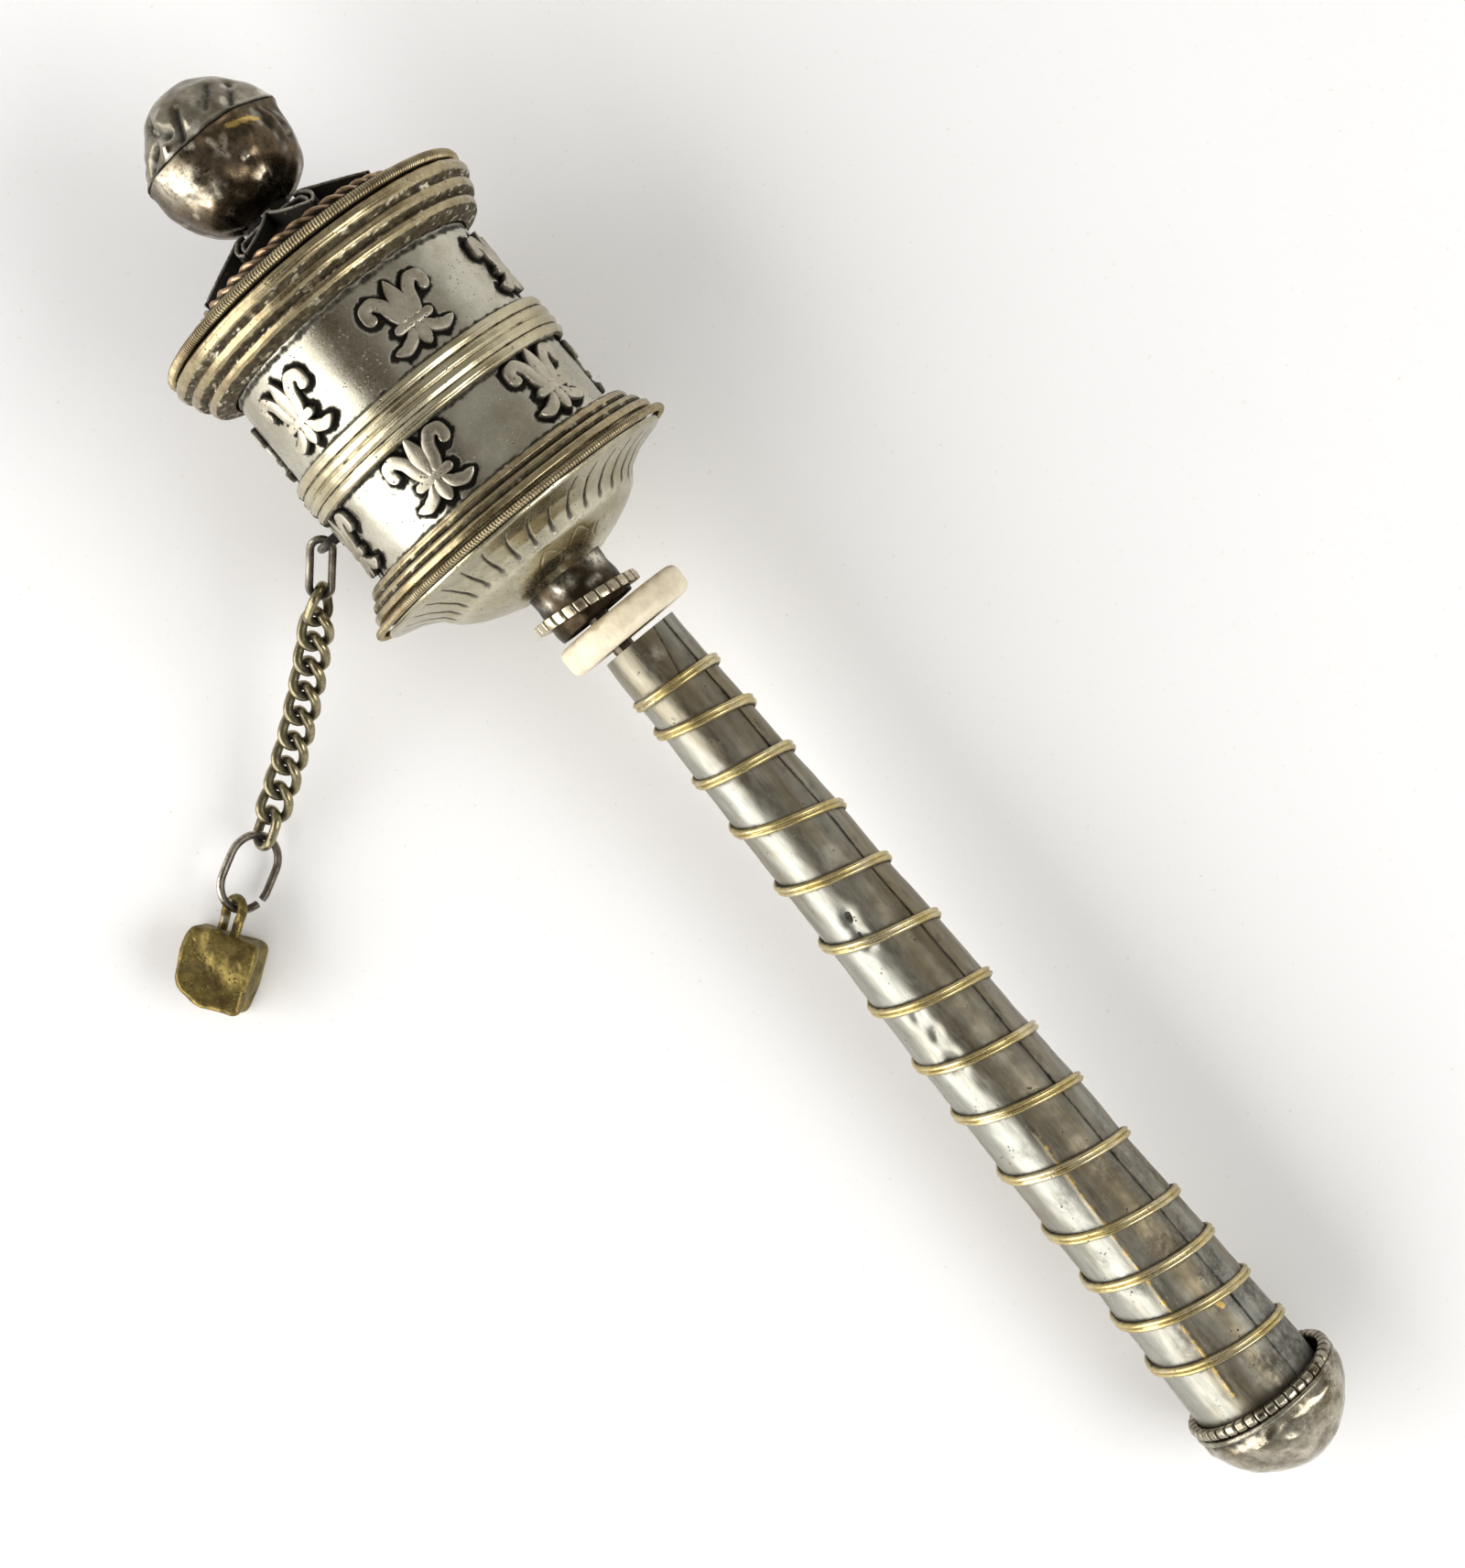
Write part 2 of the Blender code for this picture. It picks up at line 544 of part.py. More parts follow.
def build_chain():
    for name, pivot, frame, size, near, far in chain_layout():
        if size is None:
            build_weight(name, pivot, frame)
            continue
        path, facing = link_path(pivot, frame, size, near, far)
        sides = 6 if name == "end_ring" else 5
        points, faces = swept(path, facing, round_section(size[2], sides), closed=True)
        finish = "steel" if name in ("long_link", "end_ring") else "brass"
        add_node(name, points, faces, finish, pivot)


def centre_on_table():
    """Moves the whole object so that its box is centred on the origin, sideways, and stands on z = 0."""
    bpy.context.view_layer.update()
    graph = bpy.context.evaluated_depsgraph_get()
    corners = []
    for node in bpy.context.scene.objects:
        if node.hide_render:
            continue
        mesh = node.evaluated_get(graph).to_mesh()
        flat = np.empty(len(mesh.vertices) * 3, np.float32)
        mesh.vertices.foreach_get("co", flat)
        corners.append(flat.reshape(-1, 3) + np.array(node.location))
    points = np.concatenate(corners)
    low, high = points.min(axis=0), points.max(axis=0)
    shift = -np.array([(low[0] + high[0]) / 2, (low[1] + high[1]) / 2, low[2]])
    for node in bpy.context.scene.objects:
        node.location = np.array(node.location) + shift


def main():
    for old in list(bpy.data.objects):
        bpy.data.objects.remove(old, do_unlink=True)
    on_rod = to_world([RIM_S, 0.0, 0.0])
    build_drum(on_rod)
    build_handle(on_rod)
    build_washer(to_world([sum(WASHER_S) / 2, HANDLE_Y, 0.0]))
    build_chain()
    centre_on_table()


main()
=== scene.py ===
"""A hand-held prayer wheel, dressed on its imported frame.

Lengths are millimetres until a mesh is made. A place on the wheel is (s, radius, angle): s runs along the
axis from the finial, and the angle turns from the top of the wheel towards +Y.
"""

import json
import logging
import math
from collections.abc import Iterable, Sequence
from dataclasses import dataclass, field
from enum import Enum

import bpy
import numpy as np
from mathutils import Matrix


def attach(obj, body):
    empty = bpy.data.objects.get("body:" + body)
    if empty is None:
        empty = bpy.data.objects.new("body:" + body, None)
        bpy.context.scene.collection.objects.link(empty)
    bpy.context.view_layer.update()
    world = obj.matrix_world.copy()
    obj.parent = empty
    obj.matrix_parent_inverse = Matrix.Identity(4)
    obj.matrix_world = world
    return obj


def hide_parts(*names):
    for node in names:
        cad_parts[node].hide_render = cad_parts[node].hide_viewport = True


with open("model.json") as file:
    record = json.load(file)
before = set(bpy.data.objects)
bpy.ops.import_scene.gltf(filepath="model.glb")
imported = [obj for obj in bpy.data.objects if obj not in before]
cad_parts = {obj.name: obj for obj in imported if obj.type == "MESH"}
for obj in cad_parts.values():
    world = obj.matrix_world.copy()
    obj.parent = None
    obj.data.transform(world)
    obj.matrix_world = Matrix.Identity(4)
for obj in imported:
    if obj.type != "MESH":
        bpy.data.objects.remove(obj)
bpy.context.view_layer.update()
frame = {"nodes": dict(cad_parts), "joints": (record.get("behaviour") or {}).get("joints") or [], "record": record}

log = logging.getLogger("prayer_wheel")
Array = np.ndarray
Pair = tuple[float, float]
Colour = tuple[float, float, float]
MM = 0.001
TURN = 2 * math.pi
# A 24-sided ring stands on its flats, which are this much nearer the axis than its corners.
ROUND = math.cos(math.pi / 24)
SHELL_RADIUS = 19.4  # the outside of the drum's shells


def weave(rows: int, cols: int, wrap_rows: bool, wrap_cols: bool) -> Array:
    """Four-sided faces of a grid: each corner joins the next column, then the next row.

    Args:
        rows: Rows of points.
        cols: Points in each row.
        wrap_rows: Whether the last row joins the first.
        wrap_cols: Whether each row is a ring.

    Returns:
        Point numbers, four to a face.
    """
    r = np.arange(rows if wrap_rows else rows - 1)[:, None]
    c = np.arange(cols if wrap_cols else cols - 1)[None, :]
    below, beside = (r + 1) % rows, (c + 1) % cols
    return np.stack(
        [r * cols + c, r * cols + beside, below * cols + beside, below * cols + c], axis=-1
    ).reshape(-1, 4)


@dataclass
class Surface:
    """A closed skin: its points in millimetres, its faces, and a value per point for each mask."""

    points: Array
    faces: list[Array]
    masks: dict[str, Array] = field(default_factory=dict)

    @classmethod
    def grid(cls, points: Array, wrap_rows: bool = False, **masks: Array) -> "Surface":
        """Closes a grid of rings into a skin: the rows wrap, or each end ring is fanned to its own middle.

        Args:
            points: Rings of points, (rows, columns, 3).
            wrap_rows: Whether the last ring joins the first.
            **masks: One value per point, or a row or column of them.

        Returns:
            The skin, facing outward.
        """
        rows, cols = points.shape[:2]
        flat, faces = points.reshape(-1, 3), [weave(rows, cols, wrap_rows, True)]
        values = {k: np.broadcast_to(v, (rows, cols)).reshape(-1) for k, v in masks.items()}
        if not wrap_rows:
            ring = np.arange(cols)
            for ids, turn in ((ring, -1), (ring + (rows - 1) * cols, 1)):
                ends = (np.roll(ids, -1), ids) if turn < 0 else (ids, np.roll(ids, -1))
                faces.append(np.stack([*ends, np.full(cols, len(flat))], axis=-1))
                flat = np.vstack([flat, flat[ids].mean(axis=0)])
                values = {k: np.append(v, v[ids].mean()) for k, v in values.items()}
        made = cls(flat, faces, values)
        if made.volume() < 0:
            made.faces = [f[:, ::-1] for f in made.faces]
        return made

    def volume(self) -> float:
        """Six times the volume inside: the sum of the triple products of each face's corners."""
        p = self.points - self.points.mean(axis=0)
        total = 0.0
        for f in self.faces:
            for k in range(1, f.shape[1] - 1):
                total += float(np.einsum("ij,ij->", p[f[:, 0]], np.cross(p[f[:, k]], p[f[:, k + 1]])))
        return total

    @classmethod
    def joined(cls, parts: Iterable["Surface"]) -> "Surface":
        """Several skins as one piece, each keeping its own points and masks.

        Args:
            parts: The skins, at least one.

        Returns:
            One skin of them all. A mask that a part lacks is 0 there.
        """
        parts = list(parts)
        starts = np.cumsum([0] + [len(p.points) for p in parts])
        names = {k for p in parts for k in p.masks}
        return cls(
            np.concatenate([p.points for p in parts]),
            [f + start for p, start in zip(parts, starts) for f in p.faces],
            {k: np.concatenate([p.masks.get(k, np.zeros(len(p.points))) for p in parts]) for k in names},
        )

    def mesh(self, name: str, crease: float) -> bpy.types.Mesh:
        """Puts the arrays into a Blender mesh with smooth shading.

        Args:
            name: The mesh's name.
            crease: Edges sharper than this, in degrees, stay sharp.

        Returns:
            The mesh, in metres.
        """
        mesh = bpy.data.meshes.new(name)
        sizes = np.concatenate([np.full(len(f), f.shape[1]) for f in self.faces])
        corners = np.concatenate([f.reshape(-1) for f in self.faces])
        mesh.vertices.add(len(self.points))
        mesh.vertices.foreach_set("co", (self.points * MM).astype(np.float32).ravel())
        mesh.loops.add(len(corners))
        mesh.loops.foreach_set("vertex_index", corners.astype(np.int32))
        mesh.polygons.add(len(sizes))
        mesh.polygons.foreach_set("loop_start", (np.cumsum(sizes) - sizes).astype(np.int32))
        mesh.update(calc_edges=True)
        mesh.validate()
        mesh.shade_smooth()
        if crease < 180:
            mesh.set_sharp_from_angle(angle=math.radians(crease))
        for key, value in self.masks.items():
            made = mesh.attributes.new(key, "FLOAT", "POINT")
            made.data.foreach_set("value", np.clip(value, 0, 1).astype(np.float32))
        return mesh


@dataclass(frozen=True)
class WheelAxis:
    """The line everything turns on, in the frame's own coordinates."""

    origin: Array
    along: Array
    rim_s: float = 72.1

    def place(
        self, s: Array | float, radius: Array | float, angle: Array | float, aside: float = 0.0
    ) -> Array:
        """Points at (s, radius, angle): s along the axis, then radius × sine sideways and radius × cosine
        upward.

        Args:
            s: Distance from the finial's end.
            radius: Distance from the centre line.
            angle: Radians from the top towards +Y.
            aside: How far the centre line is moved towards +Y.

        Returns:
            Points in millimetres, with one more dimension than the inputs.
        """
        s, radius, angle = np.broadcast_arrays(s, radius, angle)
        sideways, upward = aside + radius * np.sin(angle), radius * np.cos(angle)
        up = np.array([-self.along[2], 0.0, self.along[0]])
        return (
            self.origin
            + (s - self.rim_s)[..., None] * self.along
            + sideways[..., None] * np.array([0.0, 1.0, 0.0])
            + upward[..., None] * up
        )


def around(count: int) -> Array:
    """Angles spaced evenly round a full turn, from 0."""
    return np.arange(count) * TURN / count


def wrapped(angle: Array | float) -> Array | float:
    """The same angle, brought to between -π and π."""
    return (angle + math.pi) % TURN - math.pi


def unit(vectors: Array) -> Array:
    """Each vector divided by its length."""
    return vectors / np.linalg.norm(vectors, axis=-1, keepdims=True)


def bell(distance: Array, width: float) -> Array:
    """A smooth hump: e to the minus square of distance over width."""
    return np.exp(-((distance / width) ** 2))


def ramp(value: Array, low: float, high: float) -> Array:
    """0 below low and 1 above high, with an even S between: 3t² - 2t³."""
    t = np.clip((value - low) / (high - low), 0, 1)
    return t * t * (3 - 2 * t)


def ripple(points: Array, size: float, seed: int, waves: int = 18) -> Array:
    """Smooth noise about 0: the scaled sum of sine waves of about one length that run in random directions.

    Args:
        points: Points, (..., 3).
        size: The waves' usual length in millimetres.
        seed: Picks the directions and phases.
        waves: How many waves are added.

    Returns:
        One value per point, mostly between -1 and 1.
    """
    draw = np.random.default_rng(seed)
    ways = unit(draw.normal(size=(waves, 3))) * (TURN / (size * draw.uniform(0.7, 1.5, (waves, 1))))
    return np.sin(points @ ways.T + draw.uniform(0, TURN, waves)).sum(axis=-1) * math.sqrt(1 / waves)


def resample(outline: Sequence[Pair] | Array, count: int, closed: bool = False) -> Array:
    """Points spaced evenly along a broken line.

    Args:
        outline: The line's corners.
        count: How many points to give.
        closed: Whether the line returns to its start.

    Returns:
        The points, (count, dimensions).
    """
    line = np.asarray(outline, float)
    if closed:
        line = np.vstack([line, line[:1]])
    gone = np.concatenate([[0], np.cumsum(np.linalg.norm(np.diff(line, axis=0), axis=1))])
    at = np.linspace(0, gone[-1], count, endpoint=not closed)
    return np.stack([np.interp(at, gone, line[:, k]) for k in range(line.shape[1])], axis=-1)


def softened(line: Array, rounds: int, closed: bool = False) -> Array:
    """Rounds a line's corners: each point becomes the mean (1, 2, 1) of itself and its neighbours."""
    for _ in range(rounds):
        mean = (np.roll(line, 1, axis=0) + 2 * line + np.roll(line, -1, axis=0)) / 4
        if not closed:
            mean[0], mean[-1] = line[0], line[-1]
        line = mean
    return line


def smooth_loop(outline: Sequence[Pair] | Array, count: int, rounds: int) -> Array:
    """A closed outline as evenly spaced points, with its corners rounded."""
    return softened(resample(outline, count, closed=True), rounds, closed=True)


def roll(s: float, radius: float, size: float, start: float = -80.0, end: float = 80.0) -> list[Pair]:
    """Part of a circle in a profile, as a half-round moulding: centre plus size times (sine, cosine)."""
    turns = np.radians(np.linspace(start, end, 13))
    return [(s + size * math.sin(t), radius + size * math.cos(t)) for t in turns]


def hollows(profile: Array, reach: float, depth: float) -> Array:
    """How deep each profile point lies below the highest one near it.

    Args:
        profile: Points (s, radius).
        reach: How far along s counts as near.
        depth: The drop that counts as fully hollow.

    Returns:
        0 to 1 per point.
    """
    near = np.abs(profile[:, None, 0] - profile[None, :, 0]) < reach
    top = np.where(near, profile[None, :, 1], 0).max(axis=1)
    return np.clip((top - profile[:, 1]) / depth, 0, 1)


def tube(path: Array, across: Array, section: Array, closed: bool, **masks: Array) -> Surface:
    """Carries a section along a path. At each point it lies in the plane of two directions square to the
    path: the across hint with its part along the path taken off, and that direction crossed with the path.

    Args:
        path: Points, (n, 3).
        across: A direction, or one for each point.
        section: (across, out) points of the section, (m, 2) or (n, m, 2).
        closed: Whether the path is a loop.
        **masks: Values that broadcast over (n, m).

    Returns:
        The tube.
    """
    ahead = np.roll(path, -1, axis=0) - np.roll(path, 1, axis=0)
    if not closed:
        ahead[0], ahead[-1] = path[1] - path[0], path[-1] - path[-2]
    ahead = unit(ahead)
    side = np.broadcast_to(across, path.shape)
    side = unit(side - (side * ahead).sum(axis=1, keepdims=True) * ahead)
    out = np.cross(ahead, side)
    section = np.broadcast_to(section, (len(path), *section.shape[-2:]))
    rings = path[:, None] + section[..., :1] * side[:, None] + section[..., 1:] * out[:, None]
    return Surface.grid(rings, wrap_rows=closed, **masks)


def disc(radius: float, count: int) -> Array:
    """A round section: radius times (cosine, sine)."""
    turns = around(count)
    return radius * np.stack([np.cos(turns), np.sin(turns)], axis=-1)


@dataclass(frozen=True)
class Mark:
    """A dent, blob, crease or thin ridge on a skin, along a straight stretch of the skin laid flat."""

    start: Pair
    end: Pair
    width: float
    height: float
    mask: str = ""
    strength: float = 1.0

    def shape(self, s: Array, angle: Array, radius: Array | float) -> Array:
        """The bell of the distance to the stretch, with the skin laid flat as (s, radius × angle)."""
        turn = wrapped(angle - math.radians(self.start[1]))
        px, py = s - self.start[0], radius * turn
        reach = np.array([self.end[0] - self.start[0]]), radius * math.radians(self.end[1] - self.start[1])
        length = reach[0] ** 2 + reach[1] ** 2 + 1e-9
        t = np.clip((px * reach[0] + py * reach[1]) / length, 0, 1)
        return bell(np.hypot(px - t * reach[0], py - t * reach[1]), self.width)


def marked(
    marks: Iterable[Mark], s: Array, angle: Array, radius: Array | float
) -> tuple[Array, dict[str, Array]]:
    """Adds up marks on a skin.

    Args:
        marks: The marks.
        s: Place along the axis of each point.
        angle: Angle of each point.
        radius: Radius used to lay the skin flat.

    Returns:
        The height to add at each point, and the strongest value of each mask.
    """
    height, masks = np.zeros(np.broadcast(s, angle).shape), {}
    for mark in marks:
        shape = mark.shape(s, angle, radius)
        height = height + mark.height * shape
        if mark.mask:
            masks[mark.mask] = np.maximum(masks.get(mark.mask, 0.0), mark.strength * shape)
    return height, masks


class NodeGraph:
    """Adds shader nodes to one tree and joins them up."""

    def __init__(self, tree: bpy.types.NodeTree) -> None:
        """Clears the tree and keeps it."""
        self.tree = tree
        tree.nodes.clear()

    def add(self, kind: str, inputs: dict | None = None, **settings: object) -> bpy.types.Node:
        """Makes a node, sets it up and joins its inputs.

        Args:
            kind: Blender's name for the node.
            inputs: A value or another node's socket for each input, by name or number.
            **settings: Properties of the node.

        Returns:
            The node.
        """
        node = self.tree.nodes.new(kind)
        for key, value in settings.items():
            setattr(node, key, value)
        for key, value in (inputs or {}).items():
            if isinstance(value, bpy.types.NodeSocket):
                self.tree.links.new(value, node.inputs[key])
            else:
                node.inputs[key].default_value = value
        return node

    def math(self, operation: str, a: object, b: object = 0.0, clamp: bool = False) -> bpy.types.NodeSocket:
        """One sum of two numbers or sockets."""
        return self.add("ShaderNodeMath", {0: a, 1: b}, operation=operation, use_clamp=clamp).outputs[0]

    def span(self, value: object, low: float, high: float, to: Pair = (0.0, 1.0)) -> bpy.types.NodeSocket:
        """Spreads low to high over another range, held at its ends."""
        settings = {"Value": value, "From Min": low, "From Max": high, "To Min": to[0], "To Max": to[1]}
        return self.add("ShaderNodeMapRange", settings, clamp=True).outputs[0]

    def mix(self, share: object, a: object, b: object) -> bpy.types.NodeSocket:
        """A colour between two, by share."""
        a, b = ((*c, 1.0) if isinstance(c, tuple) else c for c in (a, b))
        return self.add("ShaderNodeMix", {0: share, 6: a, 7: b}, data_type="RGBA").outputs[2]

    def noise(
        self, at: object, size: float, detail: float = 4.0, rough: float = 0.55
    ) -> bpy.types.NodeSocket:
        """Cloudy noise from 0 to 1, with patches of about the given size in millimetres."""
        inputs = {"Vector": at, "Scale": 1 / (size * MM), "Detail": detail, "Roughness": rough}
        return self.add("ShaderNodeTexNoise", inputs).outputs["Fac"]

    def mask(self, name: str) -> bpy.types.NodeSocket:
        """A value held by the mesh, or 0 where it has none."""
        return self.add("ShaderNodeAttribute", attribute_name=name).outputs["Fac"]


class Stretch(Enum):
    """Which way a finish's noise is drawn out."""

    NONE = (1.0, 1.0, 1.0)
    ALONG = (0.16, 1.0, 1.0)
    GRAIN = (0.10, 1.4, 1.4)


@dataclass(frozen=True)
class Finish:
    """A surface as its maker left it and as handling has changed it since, with some light and shade painted in.

    The mesh's masks say where: the dark mask is patina and dirt, and in places painted shade and a painted dark
    reflection; the bright mask is rubbed metal, and in places painted highlights and reflections; gold is brassy
    solder. Uneven is the range that its brightness wanders over.
    """

    name: str
    colour: Colour
    tint: Colour
    rough: float
    metal: float = 1.0
    # Dark colour: patina and dirt, and also painted shade and a painted dark reflection.
    grime: Colour = (0.018, 0.015, 0.011)
    # Bright colour: rubbed metal, and also painted highlights and reflections.
    worn: Colour = (0.86, 0.82, 0.70)
    gold: Colour = (0.62, 0.45, 0.17)
    cloud: float = 7.0
    clouds_at: Pair = (0.42, 0.68)
    grain: float = 0.35
    spread: float = 0.16
    pits: float = 0.0
    pit_size: float = 0.7
    relief: float = 0.012
    stretch: Stretch = Stretch.NONE
    glow: float = 0.0
    uneven: Pair = (0.82, 1.06)

    def material(self) -> bpy.types.Material:
        """Builds the finish as a shader from the object's own coordinates and masks.

        Returns:
            The material.
        """
        made = bpy.data.materials.new(self.name)
        made.use_nodes = True
        graph = NodeGraph(made.node_tree)
        place = graph.add("ShaderNodeTexCoord").outputs["Object"]
        drawn = graph.add("ShaderNodeMapping", {"Vector": place, "Scale": self.stretch.value}).outputs[0]
        fine = graph.noise(drawn, self.grain, 6.0, 0.65)
        mottle = graph.noise(drawn, self.cloud, 5.0, 0.6)
        colour = graph.mix(graph.span(mottle, *self.clouds_at), self.colour, self.tint)
        shade = graph.span(graph.noise(drawn, self.cloud * 0.22, 4.0, 0.7), 0.25, 0.75, self.uneven)
        colour = graph.add(
            "ShaderNodeVectorMath", {0: colour, 1: self._grey(graph, shade)}, operation="MULTIPLY"
        ).outputs[0]
        break_up = graph.span(graph.noise(place, 0.9, 5.0, 0.7), 0.3, 0.7, (-0.35, 0.35))
        held = graph.mask("grime")
        edge = graph.math("MULTIPLY", graph.math("MULTIPLY", held, graph.math("SUBTRACT", 1.0, held)), 4.0)
        dirt_and_shade = graph.math("ADD", held, graph.math("MULTIPLY", break_up, edge), clamp=True)
        height = fine
        if self.pits:
            cells = {"Vector": place, "Scale": 1 / (self.pit_size * MM), "Randomness": 1.0}
            far = graph.add("ShaderNodeTexVoronoi", cells).outputs["Distance"]
            some = graph.span(graph.noise(place, self.pit_size * 2.6, 2.0), 0.62 - self.pits, 0.7 - self.pits)
            hole = graph.math("MULTIPLY", graph.span(far, 0.12, 0.3, (1.0, 0.0)), some)
            dirt_and_shade = graph.math("MAXIMUM", dirt_and_shade, graph.math("MULTIPLY", hole, 0.8))
            height = graph.math("SUBTRACT", height, graph.math("MULTIPLY", hole, 2.5))
        worn, gold = graph.mask("worn"), graph.mask("gold")
        # Darkens by the dark mask: patina and dirt, and painted shade where a piece's mask holds it.
        colour = graph.mix(dirt_and_shade, colour, self.grime)
        # Brightens by the bright mask: rubbed metal, and painted highlights where a piece's mask holds it.
        colour = graph.mix(graph.math("MULTIPLY", worn, graph.span(break_up, -0.35, 0.1)), colour, self.worn)
        colour = graph.mix(graph.span(graph.math("ADD", gold, break_up), 0.25, 0.6), colour, self.gold)
        spread = graph.span(fine, 0.3, 0.7, (self.rough - self.spread / 2, self.rough + self.spread / 2))
        rough = graph.math("ADD", spread, graph.math("MULTIPLY", dirt_and_shade, 0.38), clamp=True)
        bump = graph.add("ShaderNodeBump", {"Height": height, "Strength": 1.0, "Distance": self.relief * MM})
        shader = graph.add(
            "ShaderNodeBsdfPrincipled",
            {
                "Base Color": colour,
                "Roughness": graph.math("SUBTRACT", rough, graph.math("MULTIPLY", worn, 0.1), clamp=True),
                "Specular IOR Level": graph.span(dirt_and_shade, 0.0, 1.0, (0.5, 0.12)),
                "Metallic": graph.math("MULTIPLY", graph.math("SUBTRACT", 1.0, dirt_and_shade), self.metal),
                "Normal": bump.outputs[0],
                "Subsurface Weight": self.glow,
                "Subsurface Radius": (0.002, 0.0014, 0.0008),
            },
        )
        graph.add("ShaderNodeOutputMaterial", {"Surface": shader.outputs[0]})
        return made

    @staticmethod
    def _grey(graph: NodeGraph, value: bpy.types.NodeSocket) -> bpy.types.NodeSocket:
        """The same number on all three channels."""
        return graph.add("ShaderNodeCombineXYZ", {0: value, 1: value, 2: value}).outputs[0]


FINISHES = {
    finish.name: finish
    for finish in (
        Finish(
            "white_metal_shell", (0.60, 0.575, 0.485), (0.44, 0.41, 0.32), 0.27, pits=0.07, pit_size=0.45,
            uneven=(0.90, 1.03), spread=0.1
        ),
        Finish("scroll_silver", (0.62, 0.58, 0.48), (0.46, 0.42, 0.33), 0.36, pits=0.10, cloud=3.0),
        Finish(
            "warm_nickel", (0.53, 0.455, 0.29), (0.37, 0.29, 0.175), 0.27, cloud=3.0, pits=0.06,
            grime=(0.035, 0.027, 0.016), uneven=(0.7, 1.08)
        ),
        Finish(
            "champagne_nickel", (0.62, 0.565, 0.41), (0.48, 0.42, 0.275), 0.24, cloud=6.0, pits=0.04,
            uneven=(0.92, 1.03)
        ),
        Finish(
            "dish_nickel", (0.52, 0.49, 0.37), (0.42, 0.38, 0.26), 0.23, cloud=5.0, pits=0.09, pit_size=0.5,
            grime=(0.03, 0.024, 0.014)
        ),
        Finish(
            "black_patina", (0.028, 0.023, 0.018), (0.07, 0.056, 0.040), 0.44, metal=0.3, cloud=2.5,
            relief=0.03
        ),
        Finish(
            "sleeve_bronze", (0.06, 0.044, 0.028), (0.12, 0.09, 0.058), 0.32, cloud=2.6, relief=0.02,
            uneven=(0.6, 1.15)
        ),
        Finish("sleeve_beads", (0.58, 0.48, 0.32), (0.28, 0.22, 0.14), 0.32, cloud=2.0),
        Finish(
            "rope_copper", (0.34, 0.235, 0.14), (0.20, 0.14, 0.085), 0.34, cloud=2.0, worn=(0.62, 0.45, 0.30)
        ),
        Finish(
            "grey_sheet", (0.44, 0.435, 0.385), (0.28, 0.24, 0.165), 0.37, cloud=7.0, clouds_at=(0.40, 0.62),
            stretch=Stretch.ALONG, pits=0.02, spread=0.14, uneven=(0.68, 1.08)
        ),
        Finish(
            "polished_silver", (0.54, 0.50, 0.40), (0.23, 0.19, 0.125), 0.19, cloud=3.2, pits=0.08,
            spread=0.12, uneven=(0.55, 1.12)
        ),
        Finish(
            "finial_grey", (0.35, 0.32, 0.25), (0.17, 0.148, 0.105), 0.24, cloud=4.2, spread=0.24,
            uneven=(0.62, 1.12)
        ),
        # Its bright colour serves rubbed patches and painted reflections on the inner half.
        Finish(
            "finial_bronze", (0.20, 0.15, 0.095), (0.10, 0.078, 0.052), 0.29, cloud=3.2, spread=0.24,
            worn=(0.74, 0.69, 0.56), uneven=(0.5, 1.25)
        ),
        Finish("brass_wire", (0.66, 0.555, 0.30), (0.49, 0.40, 0.19), 0.29, cloud=3.0, pits=0.05),
        Finish(
            "chain_brass", (0.285, 0.25, 0.155), (0.165, 0.14, 0.088), 0.32, cloud=2.2,
            worn=(0.52, 0.46, 0.31)
        ),
        Finish("dark_steel", (0.23, 0.20, 0.16), (0.12, 0.10, 0.085), 0.30, cloud=2.0),
        Finish(
            "cast_brass", (0.36, 0.285, 0.105), (0.17, 0.13, 0.055), 0.46, cloud=3.0, pits=0.12, pit_size=0.6,
            relief=0.04, uneven=(0.6, 1.1), grime=(0.06, 0.045, 0.02)
        ),
        Finish("wood", (0.24, 0.13, 0.06), (0.15, 0.08, 0.035), 0.7, metal=0.0, stretch=Stretch.GRAIN),
        # This dark colour also serves the painted shade on the bone washer.
        Finish(
            "bone", (0.85, 0.77, 0.60), (0.79, 0.69, 0.50), 0.42, metal=0.0, grime=(0.36, 0.25, 0.12),
            glow=0.12
        ),
        Finish("paper", (0.74, 0.66, 0.48), (0.60, 0.50, 0.33), 0.9, metal=0.0, relief=0.02),
        Finish("turquoise_chip", (0.20, 0.26, 0.30), (0.32, 0.36, 0.36), 0.45, metal=0.0, cloud=1.0),
    )
}


def placed(name: str, data: bpy.types.ID) -> bpy.types.Object:
    """A new object with this data, put in the scene."""
    made = bpy.data.objects.new(name, data)
    bpy.context.scene.collection.objects.link(made)
    return made


class Workshop:
    """Turns finished skins into pieces of the frame: each rides its body and stands for its nodes."""

    def __init__(self, record: dict) -> None:
        """Reads which body and which material slot each node has.

        Args:
            record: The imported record.
        """
        bodies = record["behaviour"]["bodies"]
        self.body = {node: body for body, nodes in bodies.items() for node in nodes}
        self.slot = {part["node"]: part["material_slot"] for part in record["subparts"]}
        self.materials = {name: finish.material() for name, finish in FINISHES.items()}

    def piece(self, name: str, skin: Surface, node: str, finish: str = "", crease: float = 60.0) -> None:
        """Makes one piece and fixes it to the frame.

        Args:
            name: The piece's name.
            skin: Its surface.
            node: The node it stands for, alone or with other pieces.
            finish: A finish other than the one of the node's slot.
            crease: Edges sharper than this, in degrees, stay sharp.
        """
        made = placed(name, skin.mesh(name, crease))
        made.data.materials.append(self.materials[finish or self.slot[node]])
        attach(made, self.body[node])
        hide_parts(node)
        log.info("%s: %d points, for %s", name, len(skin.points), node)

    def dress(self, node: bpy.types.Object, name: str) -> None:
        """Gives a node that is shown as it is the finish of its slot."""
        node.data.materials.clear()
        node.data.materials.append(self.materials[self.slot[name]])
        log.info("%s: kept from the frame", name)


